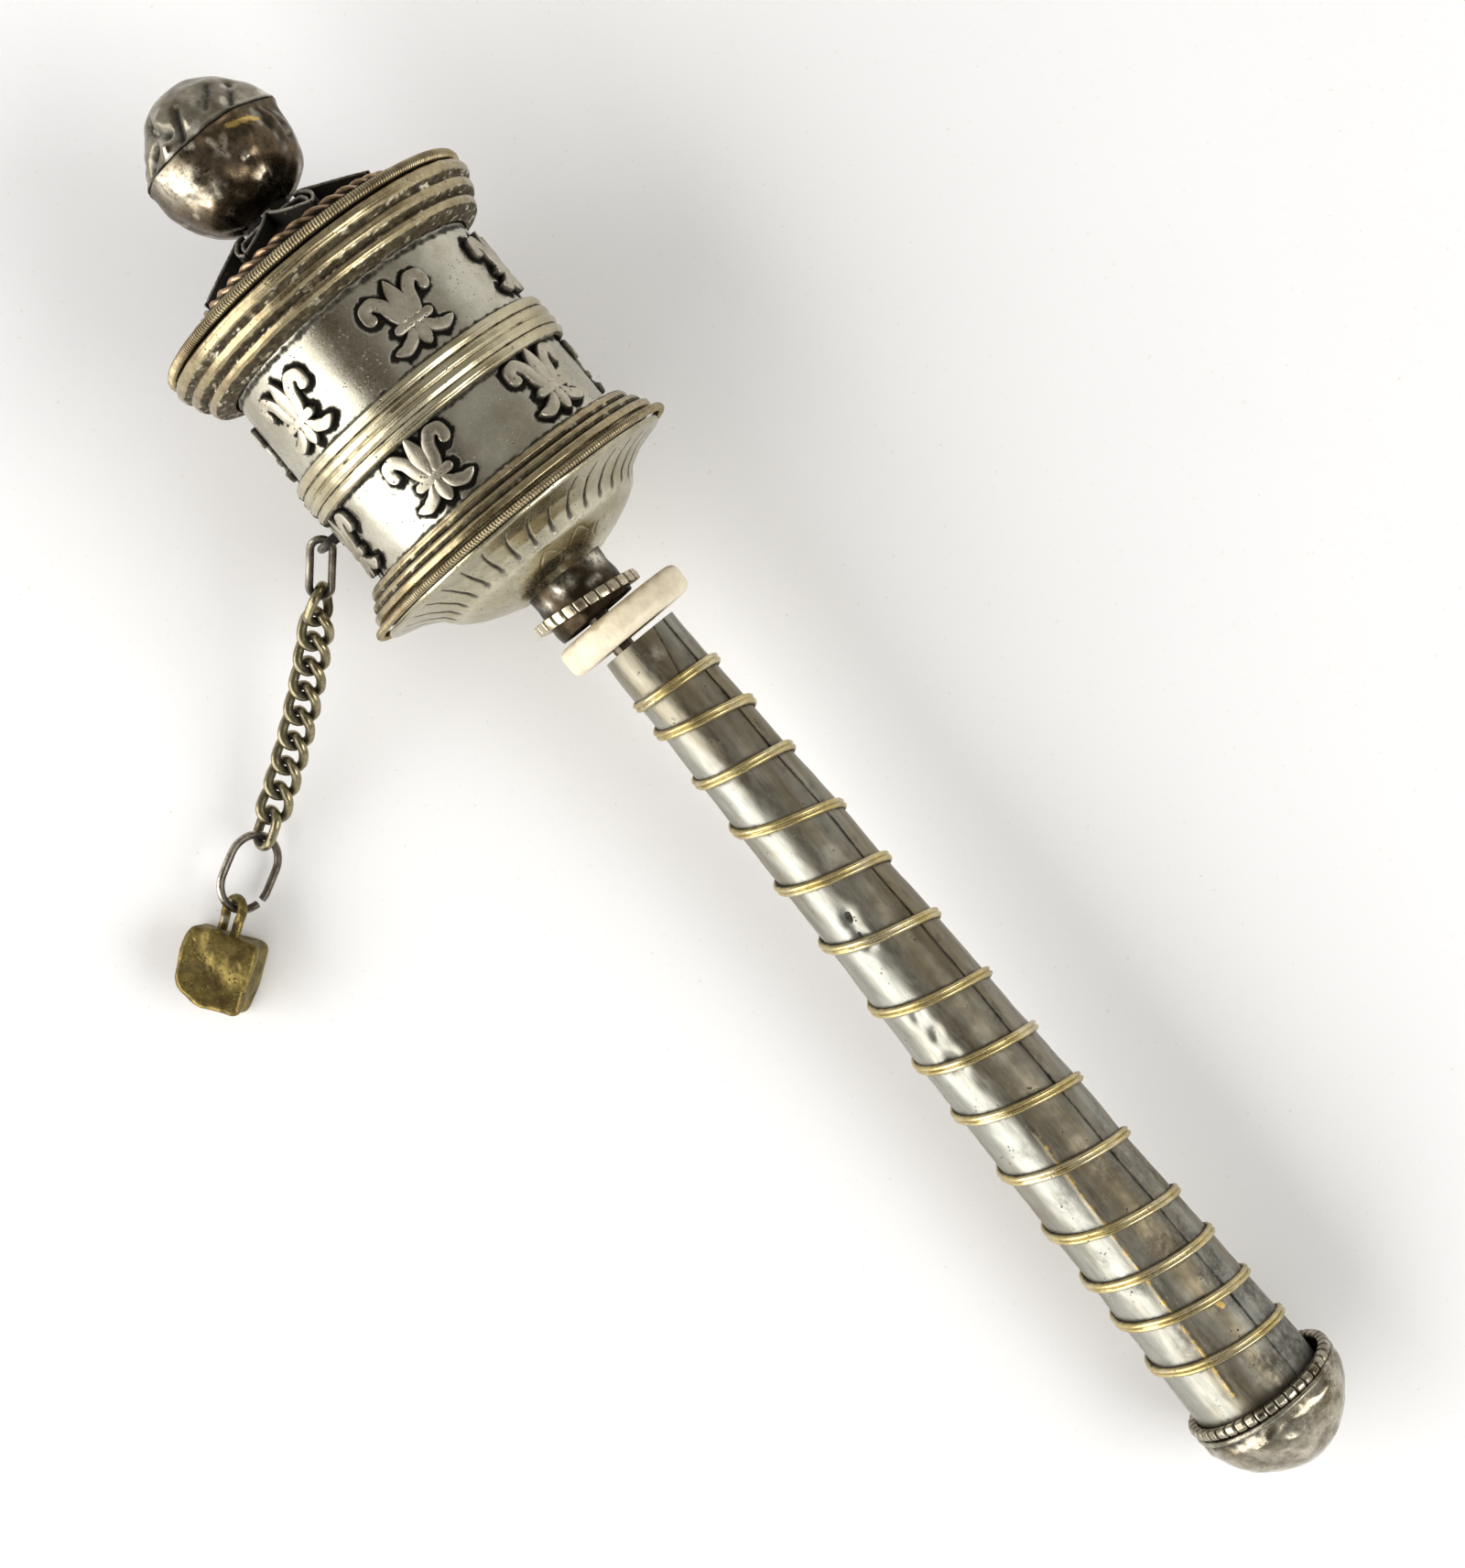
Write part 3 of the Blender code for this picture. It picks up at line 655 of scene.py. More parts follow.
@dataclass(frozen=True)
class Turning:
    """A body of revolution from a closed profile: each profile point is carried round the axis."""

    axis: WheelAxis
    cols: int = 256
    aside: float = 0.0

    def angles(self) -> Array:
        """The columns' angles, as one row."""
        return around(self.cols)[None, :]

    def places(self, profile: Array, aside: float = 0.0) -> Array:
        """Where a profile's points lie at every column, before any lift."""
        return self.axis.place(profile[:, :1], profile[:, 1:], self.angles(), aside)

    def skin(self, profile: Array, lift: Array | float = 0.0, **masks: Array) -> Surface:
        """Carries a profile round.

        Args:
            profile: Points (s, radius) of a closed outline.
            lift: What to add to the radius, per point of the grid.
            **masks: Values that broadcast over (profile points, columns).

        Returns:
            The skin.
        """
        s, radius = profile[:, :1], profile[:, 1:] + lift
        points = self.axis.place(s, radius, self.angles(), self.aside)
        return Surface.grid(points, wrap_rows=True, **masks)


@dataclass(frozen=True)
class Wire:
    """A wire bent to a ring about the axis: (s, radius) of its middle, and its own radius."""

    s: float
    radius: float
    size: float
    lean: float = 0.0

    def skin(
        self, axis: WheelAxis, cols: int, swell: Array, section: int, aside: float = 0.0, **masks: Array
    ) -> Surface:
        """A torus whose own radius swells: the section's angle phi runs over rows and the ring's angle over
        columns.

        Args:
            axis: The wheel's axis.
            cols: Points round the ring.
            swell: Share of the wire's radius to use at each (section, column).
            section: Points round the section.
            aside: How far the ring's centre is moved towards +Y.
            **masks: Values per (section, column).

        Returns:
            The wire.
        """
        phi, angle = around(section)[:, None], around(cols)[None, :]
        out = self.radius + self.size * swell * np.cos(phi)
        s = self.s + self.size * swell * np.sin(phi) + out * np.sin(angle) * math.sin(math.radians(self.lean))
        return Surface.grid(axis.place(s, out, angle, aside), wrap_rows=True, **masks)


def beading(count: int, points: int, steep: float) -> tuple[Array, Array]:
    """Square-shouldered beads on a ring of wire, in two factors of the wire's own radius.

    Args:
        count: How many beads there are.
        points: Points along each bead, and round the wire's section.
        steep: How steeply a bead falls to the dip beside it.

    Returns:
        A row that is 1 on a bead and falls to 0 between two, as steep × |sine of half the beads' angle|, and
        a column that squares the section: 1 / (the larger of |sine| and |cosine|)^0.6.
    """
    dip = np.minimum(1, steep * np.abs(np.sin(np.arange(count * points) * math.pi / points)))[None, :]
    phi = around(points)[:, None]
    return dip, 1 / np.maximum(np.abs(np.cos(phi)), np.abs(np.sin(phi))) ** 0.6


@dataclass(frozen=True)
class Finial:
    """The hollow ball at the top end, pressed in two halves, and the neck that carries it."""

    axis: WheelAxis
    centre: float = 9.9
    radius: float = 10.3
    wall: float = 0.7
    stretch: float = 1.07
    seam: float = 7.9
    mouth: float = 4.1
    cols: int = 208
    outer_marks: tuple[Mark, ...] = (
        Mark((5.4, -20), (1.4, -46), 0.70, -0.80, "grime", 0.95),
        Mark((7.0, -14), (3.4, -4), 0.55, -0.60, "grime", 0.95),
        Mark((5.3, -38), (7.4, -54), 0.65, -0.65, "grime", 0.95),
        Mark((4.4, -28), (6.0, -29), 0.75, 0.45, "worn", 0.35),
        Mark((5.6, 16), (2.6, 36), 0.55, -0.40, "grime", 0.7),
        Mark((6.8, 34), (3.4, 62), 0.60, -0.55, "grime", 0.85),
        Mark((3.0, 150), (6.4, 170), 0.80, -0.50, "grime", 0.6),
        Mark((4.0, 4), (4.8, 22), 2.2, 0.30),
        Mark((7.0, -30), (5.8, -18), 0.6, 0.35, "worn", 0.3),
        Mark((2.0, -80), (5.0, -70), 1.2, -0.45, "grime", 0.4),
    )
    # On this half the bright marks are partly rubbed metal and partly painted reflections of the lamps.
    inner_marks: tuple[Mark, ...] = (
        Mark((9.9, -50), (11.6, -34), 2.3, 0.25, "worn", 1.0),
        Mark((13.4, -38), (14.6, -22), 1.0, -0.25, "worn", 0.5),
        Mark((9.4, 20), (10.6, 44), 0.55, 0.12, "gold", 0.7),
        Mark((9.2, 50), (14.6, 54), 0.75, -0.45, "grime", 0.8),
        Mark((9.4, 66), (13.6, 70), 0.75, -0.45, "grime", 0.6),
        Mark((9.2, -8), (13.0, 6), 1.6, -0.35, "grime", 0.35),
        Mark((11.6, 30), (13.2, 26), 1.3, 0.30),
        Mark((17.1, 17), (16.7, 24), 0.95, 0.55, "worn", 0.6),
        Mark((13.8, 16), (13.8, 16), 0.6, 0.42, "worn", 0.7),
        Mark((12.6, -12), (15.4, -20), 0.5, 0.05, "worn", 0.45),
        Mark((9.4, 2), (12.4, 5), 0.35, 0.04, "worn", 0.5),
    )

    def half(self, polar: Array, marks: tuple[Mark, ...], seed: int) -> Surface:
        """Half the ball. With p the angle from the outer pole, a point lies at centre - radius × cos p along
        the axis, and radius × sin p out from it, and the inside is the same less the wall.

        Args:
            polar: The angles p of the outside, from one edge to the other.
            marks: What dents and marks it.
            seed: Picks its lumps.

        Returns:
            The shell.
        """
        angle = around(self.cols)[None, :]
        polar = polar[:, None]
        reach = np.where(polar < math.pi / 2, self.stretch, 1.0)
        s = self.centre - self.radius * reach * np.cos(polar)
        places = self.axis.place(s, self.radius * np.sin(polar), angle)
        lumps = 0.36 * ripple(places, 11.0, 3) + 0.09 * ripple(places, 3.4, seed)
        height, masks = marked(marks, s, angle, self.radius * np.sin(polar))
        lip = 0.34 * bell(s - self.seam, 0.62)
        skin = self.radius + lumps + height + lip
        outside = self.axis.place(self.centre - skin * reach * np.cos(polar), skin * np.sin(polar), angle)
        bare = self.radius - self.wall + lumps
        inside = self.axis.place(
            self.centre - bare * reach * np.cos(polar), bare * np.sin(polar), angle
        )[::-1]
        masks["grime"] = np.maximum(masks.get("grime", 0.0), bell(s - self.seam, 0.26) * 0.8)
        # Bright speckles: rubbed metal, and on the inner half painted glints as well.
        rubbed = ramp(ripple(places, 3.0, seed + 9), 0.55, 1.5) * 0.55
        masks["worn"] = np.maximum(masks.get("worn", 0.0), rubbed)
        masks = {k: np.vstack([np.broadcast_to(v, lumps.shape), 0 * lumps]) for k, v in masks.items()}
        return Surface.grid(np.concatenate([outside, inside]), wrap_rows=bool(polar[0, 0] > 0.1), **masks)

    def neck(self) -> Surface:
        """The neck: a tube that flares towards the crown, from a profile carried round."""
        outline = [
            (16.4, 1.8), (16.4, 3.6), (18.0, 3.2), (19.6, 3.25), (20.6, 3.7), (21.2, 4.7), (21.35, 4.7),
            (21.5, 3.3), (21.5, 1.8)
        ]
        return Turning(self.axis, 72).skin(smooth_loop(outline, 60, 2))

    def build(self, shop: Workshop) -> None:
        """Makes the two halves and the neck."""
        edge = math.acos((self.centre - self.seam) / (self.radius * self.stretch))
        last = math.pi - math.asin(self.mouth / self.radius)
        shop.piece(
            "finial_cap", self.half(np.linspace(0.004, edge, 70), self.outer_marks, 3), "finial_outer_half"
        )
        shop.piece(
            "finial_cup", self.half(np.linspace(edge + 0.018, last, 90), self.inner_marks, 4),
            "finial_inner_half"
        )
        shop.piece("finial_stem", self.neck(), "finial_neck")


@dataclass(frozen=True)
class Crown:
    """The drum's top: a black cover, a strip bent to a lotus, chips of stone, and a rope wire round it."""

    axis: WheelAxis
    petals: int = 8
    inner: float = 6.4
    outer: float = 14.6
    height: float = 2.2
    thick: float = 0.42
    strands: int = 36
    rope_wire: Wire = Wire(26.2, 15.8, 0.86)
    cone_start: Pair = (21.6, 5.0)
    cone_rise: Pair = (5.7, 11.2)

    def surface(self, radius: Array | float) -> Array | float:
        """Where the cover's cone lies along the axis at a radius: a straight slope."""
        return self.cone_start[0] + (radius - self.cone_start[1]) * self.cone_rise[0] / self.cone_rise[1]

    def cover(self) -> Surface:
        """The cover: a cone with a flat brim, from its profile."""
        outline = [
            (21.6, 4.75), (21.6, 5.0), (27.3, 16.2), (27.9, 18.0), (28.0, 22.6), (28.9, 22.6), (28.3, 18.0),
            (22.9, 4.75)
        ]
        profile = resample(outline, 120, closed=True)
        turning = Turning(self.axis)
        return turning.skin(profile, 0.12 * ripple(turning.places(profile), 2.6, 11))

    def petal(self, share: float, size: float) -> Array:
        """One side of a petal and back down the other. At share t of its length its half-angle is the base's
        times 1 - t^1.4, so that it bulges and ends in a point.

        Args:
            share: Half-angle at the base as a share of the petal's room.
            size: Its length as a share of a full petal's.

        Returns:
            Points (radius, angle).
        """
        t = np.linspace(0, 1, 26)
        half = share * (math.pi / self.petals) * (1 - t**1.4)
        radius = self.inner + (self.outer - self.inner) * (0.5 - size / 2 + t * size)
        return np.concatenate([np.stack([radius, -half], axis=-1), np.stack([radius, half], axis=-1)[-2::-1]])

    def strip(self, plan: Array, height: float) -> Surface:
        """A strip stood on edge on the cover along a plan of (radius, angle)."""
        flat = np.stack([plan[:, 0] * np.sin(plan[:, 1]), plan[:, 0] * np.cos(plan[:, 1])], axis=-1)
        flat = smooth_loop(flat, max(120, 3 * len(plan)), 3)
        radius, angle = np.hypot(*flat.T), np.arctan2(flat[:, 0], flat[:, 1])
        path = self.axis.place(self.surface(radius) + 0.1, radius, angle)
        t, h = self.thick / 2, height
        half = [(0, -t), (-h + 0.4, -t), (-h + 0.08, -t), (-h, -t + 0.1)]
        section = np.array(half + [(a, -b) for a, b in half[::-1]])
        top = np.array([1.0, 1.0, 0.3, 0.0, 0.0, 0.3, 1.0, 1.0])
        return tube(path, self.axis.along, section, closed=True, grime=top * 0.85, worn=0.55 * (1 - top))

    def lotus(self) -> Surface:
        """The outer strip, which runs through every petal, and a smaller loop inside each."""
        whole, loops = [], []
        for k in range(self.petals):
            turn = np.array([0.0, (k + 0.5) * TURN / self.petals])
            whole.append(self.petal(0.93, 1.0) + turn)
            loops.append(self.strip(self.petal(0.52, 0.62) + turn, self.height * 0.8))
        return Surface.joined([self.strip(np.concatenate(whole), self.height), *loops])

    def chips(self) -> Surface:
        """Chips of stone in some petals: small rough drops, each a sphere with seeded lumps."""
        draw, parts = np.random.default_rng(21), []
        polar, angle = np.linspace(0.05, math.pi - 0.05, 9)[:, None], around(12)[None, :]
        ball = np.stack(
            [np.sin(polar) * np.cos(angle), np.sin(polar) * np.sin(angle), np.cos(polar) + 0 * angle], axis=-1
        )
        for k in (0, 1, 3, 4, 6, 7):
            for _ in range(3):
                radius = draw.uniform(8.6, 11.4)
                turn = (k + 0.5 + draw.uniform(-0.12, 0.12)) * TURN / self.petals
                middle = self.axis.place(self.surface(radius) - 0.35, radius, turn)
                sizes = draw.uniform(0.35, 0.75, 3)
                lumps = 1 + 0.22 * ripple(ball * 3, 3.0, int(draw.integers(999)))
                parts.append(Surface.grid(middle + ball * lumps[..., None] * sizes))
        return Surface.joined(parts)

    def rope(self) -> Surface:
        """Two strands twisted: at angle t from both, the rope reaches d × |cos t| + √(r² - d² sin² t)."""
        cols, section, offset, strand = self.strands * 14, 16, 0.42, 0.58
        turn = around(section)[:, None] - around(cols)[None, :] * self.strands / 2
        swell = offset * np.abs(np.cos(turn)) + np.sqrt(strand**2 - (offset * np.sin(turn)) ** 2)
        groove = 1 - ramp(swell, 0.45, 0.8)
        return self.rope_wire.skin(self.axis, cols, swell, section, grime=groove, worn=0.55 * (1 - groove))

    def build(self, shop: Workshop) -> None:
        """Makes the cover, the lotus, the chips and the rope."""
        shop.piece("drum_top_cover", self.cover(), "top_cover")
        shop.piece("lotus_strip", self.lotus(), "petal_crown")
        shop.piece("stone_chips", self.chips(), "petal_crown", "turquoise_chip")
        shop.piece("rope_edging", self.rope(), "rope_wire", "rope_copper")


@dataclass(frozen=True)
class Moulding:
    """A turned band of half-round rolls and grooves, with patina and solder left in its grooves.

    It has the finish of its slot unless one is named. Stain is how black the patch beside the staple is.
    """

    name: str
    node: str
    outline: tuple[Pair, ...]
    rows: int = 200
    solder: float = 0.0
    seed: int = 1
    finish: str = ""
    stain: float = 0.0
    cols: int = 352

    def build(self, axis: WheelAxis, shop: Workshop) -> None:
        """Carries the outline round, with faint waves in the rolls and solder in the grooves."""
        profile = smooth_loop(self.outline, self.rows, 1)
        profile[:, 1] *= ROUND
        low = hollows(profile, 0.7, 0.42)[:, None]
        turning = Turning(axis, self.cols)
        places = turning.places(profile)
        lines = profile[:, :1] * TURN / 0.62 + 0.6 * ripple(places, 9.0, self.seed + 2)
        lift = 0.035 * ripple(places, 3.2, self.seed) + 0.03 * np.sin(lines)
        speckle = ripple(places, 2.3, self.seed + 1, 40) + 0.8 * ripple(places, 0.7, self.seed + 4, 40)
        blobs = ramp(speckle, 1.0, 1.8) * ramp(low, 0.3, 0.8)
        angle = wrapped(turning.angles() + math.radians(90))
        patch = 0.5 + 0.3 * ripple(places, 1.4, self.seed + 3) - np.abs(np.degrees(angle)) / 9 + 0.7
        patina = 0.85 * ramp(low + 0.12 * ripple(places, 2.0, self.seed + 5), 0.6, 0.95)
        grime = np.maximum(patina - blobs * self.solder, self.stain * ramp(patch, 0.2, 0.5))
        skin = turning.skin(profile, lift + 0.1 * self.solder * blobs, grime=grime, worn=blobs * self.solder)
        shop.piece(self.name, skin, self.node, self.finish)


@dataclass(frozen=True)
class MilledWire:
    """A wire bent round a rim, with fine slanted ridges round it."""

    name: str
    node: str
    wire: Wire
    ridges: int = 336
    slant: float = 1.0

    def build(self, axis: WheelAxis, shop: Workshop) -> None:
        """Makes the wire: its own radius swells with the sine of ridges × angle + slant × section angle."""
        cols, section = self.ridges * 6, 12
        wave = np.sin(self.ridges * around(cols)[None, :] + self.slant * around(section)[:, None])
        skin = self.wire.skin(axis, cols, 0.93 + 0.1 * wave, section, grime=0.75 * ramp(-wave, 0.0, 0.9))
        shop.piece(self.name, skin, self.node)


@dataclass(frozen=True)
class Scroll:
    """One raised ornament: three leaves above a bar, the outer two curled, and three smaller ones below."""

    s: float
    angle: float
    low: float = 19.05
    high: float = 20.2
    steps: int = 90

    def lines(self) -> list[tuple[Array, Array]]:
        """The ornament's lines, laid flat with x across and y towards the finial.

        Returns:
            For each line its points (n, 2) and its width at each.
        """
        curl = ((0.75, -0.9), (1.5, 0.6), (1.95, 2.3), (3.0, 3.55), (4.3, 3.3), (4.45, 2.0), (3.6, 1.35))
        foot = ((0.8, -1.9), (1.7, -3.3), (3.0, -3.9), (4.6, -3.5))
        t = np.linspace(0, 1, self.steps)
        leaf = np.sin(np.clip(t, 0.01, 0.99) * math.pi) ** 0.55
        found = [
            (
                resample(((0, -0.9), (0, 4.9)), self.steps),
                2.5 * np.sin(np.clip(t, 0.01, 0.985) ** 0.7 * math.pi) ** 0.7
            ),
            (resample(((-2.9, -1.35), (2.9, -1.35)), self.steps), 1.35 * self._ends(t, 0.12)),
            (resample(((0, -1.6), (0, -4.9)), self.steps), 1.9 * leaf),
        ]
        for side in (1, -1):
            turned = np.array([side, 1.0])
            found.append(
                (softened(resample(curl, self.steps), 8) * turned, (1.9 - 0.35 * t) * self._ends(t, 0.09))
            )
            found.append((softened(resample(foot, self.steps), 8) * turned, 1.75 * leaf))
        return found

    @staticmethod
    def _ends(t: Array, reach: float) -> Array:
        """A width share that rounds both ends: √(1 - (1 - t/reach)²) within reach of each."""
        near = np.clip(np.minimum(t, 1 - t) / reach, 0.02, 1)
        return np.sqrt(1 - (1 - near) ** 2)

    def skin(self, axis: WheelAxis) -> Surface:
        """Bends the lines round the shell: a flat section with a small bevel, carried along each line.

        Args:
            axis: The wheel's axis.

        Returns:
            The ornament.
        """
        half = [(-1, 0), (-1, 0.4), (-1, 0.8), (-0.88, 0.95), (-0.6, 1)]
        section = np.array([*half, (0, 1.03), *((-x, y) for x, y in half[::-1])])
        side = np.array([1, 0.95, 0.55, 0.1, 0, 0, 0, 0.1, 0.55, 0.95, 1])
        parts = []
        for line, width in self.lines():
            ahead = unit(np.gradient(line, axis=0))
            across = np.stack([-ahead[:, 1], ahead[:, 0]], axis=-1)
            flat = line[:, None] + (width[:, None] / 2 * section[:, 0])[..., None] * across[:, None]
            radius = self.low + (self.high - self.low) * section[:, 1]
            points = axis.place(
                self.s - flat[..., 1], radius[None, :] + 0 * flat[..., 0],
                self.angle + flat[..., 0] / SHELL_RADIUS
            )
            parts.append(Surface.grid(points, grime=side))
        return Surface.joined(parts)

    def clearance(self, s: Array, angle: Array) -> Array:
        """Distance from points of the shell to the ornament's edge, with the shell laid flat.

        Args:
            s: Place along the axis, (n, 1).
            angle: Angles, (1, m), within reach of the ornament.

        Returns:
            The distances, (n, m).
        """
        x, y = wrapped(angle - self.angle), self.s - s
        nearest = np.full(np.broadcast(s, angle).shape, 99.0)
        for line, width in self.lines():
            for (px, py), w in zip(line[::3], width[::3]):
                nearest = np.minimum(nearest, np.hypot(x * SHELL_RADIUS - px, y - py) - w / 2)
        return nearest


@dataclass(frozen=True)
class Drum:
    """The drum's two shells, the mouldings and milled wires that edge them, and two rows of six ornaments."""

    axis: WheelAxis
    radius: float = SHELL_RADIUS * ROUND
    wall: float = 0.6
    rows: tuple[Pair, ...] = ((44.0, 17.0), (60.9, -14.0))
    names: tuple[str, ...] = ("upper", "lower")
    spans: tuple[Pair, ...] = ((30.6, 53.2), (53.4, 69.2))
    band_edges: tuple[float, ...] = (37.4, 50.2, 56.3, 66.9)
    spill: Pair = (57.0, 265.0)
    shell_rows: int = 150
    shell_cols: int = 640
    top_wire: Wire = Wire(29.2, 23.9 * ROUND, 0.82)
    bottom_wire: Wire = Wire(72.1, 24.3 * ROUND, 0.56)

    def shell(self, span: Pair, scrolls: list[Scroll], seed: int) -> Surface:
        """A tube: its outside is a fine grid that carries the patina left round the ornaments and along the
        bands.

        Args:
            span: Where it starts and ends along the axis.
            scrolls: The ornaments on it.
            seed: Picks its unevenness.

        Returns:
            The shell.
        """
        turning = Turning(self.axis, self.shell_cols)
        angle = turning.angles()
        s = np.linspace(*span, self.shell_rows)[:, None]
        near = np.full((len(s), angle.shape[1]), 99.0)
        for scroll in scrolls:
            close = np.abs(wrapped(angle[0] - scroll.angle)) < 0.4
            near[:, close] = np.minimum(near[:, close], scroll.clearance(s, angle[:, close]))
        places = self.axis.place(s, self.radius, angle)
        ragged = 0.13 * ripple(places, 1.7, seed) + 0.07 * ripple(places, 0.7, seed + 1)
        grime = 1 - ramp(near + ragged, 0.5, 0.85)
        for edge in self.band_edges:
            grime = np.maximum(grime, 0.85 * (1 - ramp(np.abs(s - edge) + ragged, 0.1, 0.55)))
        turned_by = np.degrees(angle) - self.spill[1] + 3 * ripple(places, 3.0, seed + 3)
        spill = np.hypot((s - self.spill[0]) / 2.4, turned_by / 11.0)
        grime = np.maximum(grime, 1 - ramp(spill + ragged, 0.8, 1.1))
        lift = 0.05 * ripple(places, 7.0, seed + 2) - 0.07 * ramp(grime, 0.3, 0.9)
        wall = np.array([(span[1], self.radius - self.wall), (span[0], self.radius - self.wall)])
        profile = np.vstack([np.hstack([s, np.full_like(s, self.radius)]), wall])
        ends = np.zeros((2, angle.shape[1]))
        return turning.skin(profile, np.vstack([lift, ends]), grime=np.vstack([grime, ends + 0.6]))

    def mouldings(self) -> tuple[Moulding, ...]:
        """The three bands of half-round rolls."""
        top = (
            (30.3, 22.4), (30.3, 23.5), *roll(31.15, 23.65, 1.15, -50, 62), *roll(33.2, 22.75, 1.2, -38, 60),
            *roll(35.15, 21.55, 1.2, -38, 66), (36.7, 20.6),
        )
        middle = (
            (50.4, 19.7), *roll(51.05, 19.95, 0.95, -85, 55), *roll(52.55, 20.1, 0.9, -50, 50),
            *roll(54.0, 20.1, 0.9, -50, 50), *roll(55.45, 19.95, 0.95, -55, 85), (56.1, 19.7),
        )
        low = (
            (67.2, 19.75), (66.95, 20.2), *roll(67.9, 20.9, 1.05, -70, 52), *roll(69.35, 21.95, 1.0, -48, 50),
            *roll(70.6, 22.75, 0.95, -48, 60), (71.4, 23.1), (69.6, 19.75),
        )
        return (
            Moulding(
                "top_rim_rolls", "top_rim_band", (*top, (36.9, 19.75), (33.6, 19.75), (31.4, 21.8)),
                solder=0.8, seed=31
            ),
            Moulding("middle_rolls", "middle_band", middle, 170, 0.2, 33, "champagne_nickel", 0.95),
            Moulding("bottom_rim_rolls", "bottom_rim_band", low, rows=170, solder=0.4, seed=35),
        )

    def build(self, shop: Workshop) -> None:
        """Makes the shells, the ornaments, the bands and the wires."""
        for (s, first), name, span, seed in zip(self.rows, self.names, self.spans, (41, 47)):
            scrolls = [Scroll(s, math.radians(first + 60 * k)) for k in range(6)]
            for k, scroll in enumerate(scrolls):
                shop.piece(
                    f"ornament_{name}_{k + 1}", scroll.skin(self.axis), f"scroll_{name}_{k + 1}", crease=40
                )
            shop.piece(f"{name}_drum_shell", self.shell(span, scrolls, seed), f"{name}_shell")
        for band in self.mouldings():
            band.build(self.axis, shop)
        for name, wire, slant in (("top", self.top_wire, 1.0), ("bottom", self.bottom_wire, -1.0)):
            MilledWire(f"{name}_milled_edge", f"{name}_milled_wire", wire, slant=slant).build(self.axis, shop)


@dataclass(frozen=True)
class Base:
    """The drum's underside: an engraved dish, the sleeve below it and the sleeve's ring of beads."""

    axis: WheelAxis
    strokes: int = 34
    leaves: int = 16
    depth: float = 0.24
    beads: int = 27
    bead_wire: Wire = Wire(86.0, 6.95, 0.94, 8.0)
    dish_rows: int = 98
    dish_cols: int = 840

    def engraving(self, radius: Array, angle: Array) -> Array:
        """How deep the graver went. Hooked strokes end in dots, and leaf outlines stand within: each is a
        bell of the distance to a curve, within one stroke's or one leaf's share of the turn.

        Args:
            radius: Radius of each row.
            angle: Angle of each column.

        Returns:
            0 to 1 per point.
        """
        cell = TURN / self.strokes
        x = ((angle / cell + 0.5) % 1 - 0.5) * cell * radius
        t = (22.0 - radius) / 6.4
        hook = 1.9 * np.clip(1 - t, 0, 1) ** 2.0 - 0.25
        stroke = bell((x - hook) / (0.16 + 0.24 * np.clip(t, 0, 1)), 1.0) * ramp(t, 0, 0.06)
        stroke = stroke * (1 - ramp(t, 0.92, 1.0))
        dot = bell(np.hypot(x + 0.25, radius - 15.9), 0.5)
        cell = TURN / self.leaves
        x = ((angle / cell + 0.5) % 1 - 0.5) * cell * radius
        t = np.clip((14.2 - radius) / 4.6, 0, 1)
        leaf = bell(np.abs(x) - 1.75 * np.sin(t * math.pi) ** 0.8, 0.2) * ramp(t, 0, 0.03)
        leaf = leaf * (1 - ramp(t, 0.97, 1.0))
        return np.maximum.reduce([stroke, dot, 0.3 * leaf])

    def dish(self) -> Surface:
        """The dish: its outside is a fine grid lowered by the engraving, its inside a coarse one."""
        outline = [
            (72.7, 23.3), (73.2, 23.3), (74.3, 19.2), (75.7, 16.6), (77.6, 15.0), (79.1, 12.6), (80.3, 9.6),
            (81.2, 6.9)
        ]
        outside = softened(resample(outline, self.dish_rows), 5)
        inside = resample(
            [(81.0, 6.3), (80.4, 6.3), (79.5, 9.3), (78.4, 12.0), (76.9, 14.3), (75.0, 16.0), (73.6, 18.9)],
            12
        )
        profile = np.vstack([outside, inside]) * np.array([1.0, ROUND])
        turning = Turning(self.axis, self.dish_cols)
        cut = self.engraving(outside[:, 1:], turning.angles())
        cut = np.vstack([cut, np.zeros((len(inside), cut.shape[1]))])
        places = turning.places(profile)
        lift = 0.05 * ripple(places, 6.0, 51) - self.depth * cut
        # Painted highlight, in the bright mask: a bright ring round the dish's shoulder, near radius 15, stands in
        # for a lamp's highlight.
        worn = 0.35 * bell(profile[:, 1:] - 15.0, 0.8)
        return turning.skin(profile, lift, grime=ramp(cut, 0.2, 0.8) * 0.95, worn=worn)

    def sleeve(self) -> Surface:
        """The sleeve: a short tube that widens a little to its end, dark but for rubbed patches."""
        outline = [
            (76.2, 5.9), (81.0, 5.95), (83.0, 5.8), (85.0, 5.95), (87.2, 6.05), (88.3, 5.9), (88.3, 5.15),
            (76.2, 5.15)
        ]
        profile = smooth_loop(outline, 150, 1)
        turning = Turning(self.axis, 180)
        patches = (
            Mark((82.0, 46), (82.4, 60), 1.1, 0.08, "worn", 0.9),
            Mark((82.5, -16), (82.5, -4), 0.9, 0.08, "worn", 0.9),
            Mark((84.4, 20), (84.4, 34), 0.5, 0.05, "worn", 0.6),
            Mark((83.0, -60), (83.2, -48), 0.8, 0.05, "worn", 0.5),
        )
        height, masks = marked(patches, profile[:, :1], turning.angles(), 6.0)
        places = turning.places(profile)
        return turning.skin(
            profile, height * (profile[:, 1:] > 5.5) + 0.05 * ripple(places, 2.4, 55), **masks
        )

    def bead_ring(self) -> Surface:
        """The ring of beads on the sleeve, dark between the beads and rubbed on them."""
        section = 16
        dip, square = beading(self.beads, section, 2.4)
        swell, none = (0.62 + 0.36 * dip) * square / 1.08, 0 * square
        masks = {"grime": (1 - dip) * 1.1 + none, "worn": 0.5 * dip + none}
        return self.bead_wire.skin(self.axis, self.beads * section, swell, section, **masks)

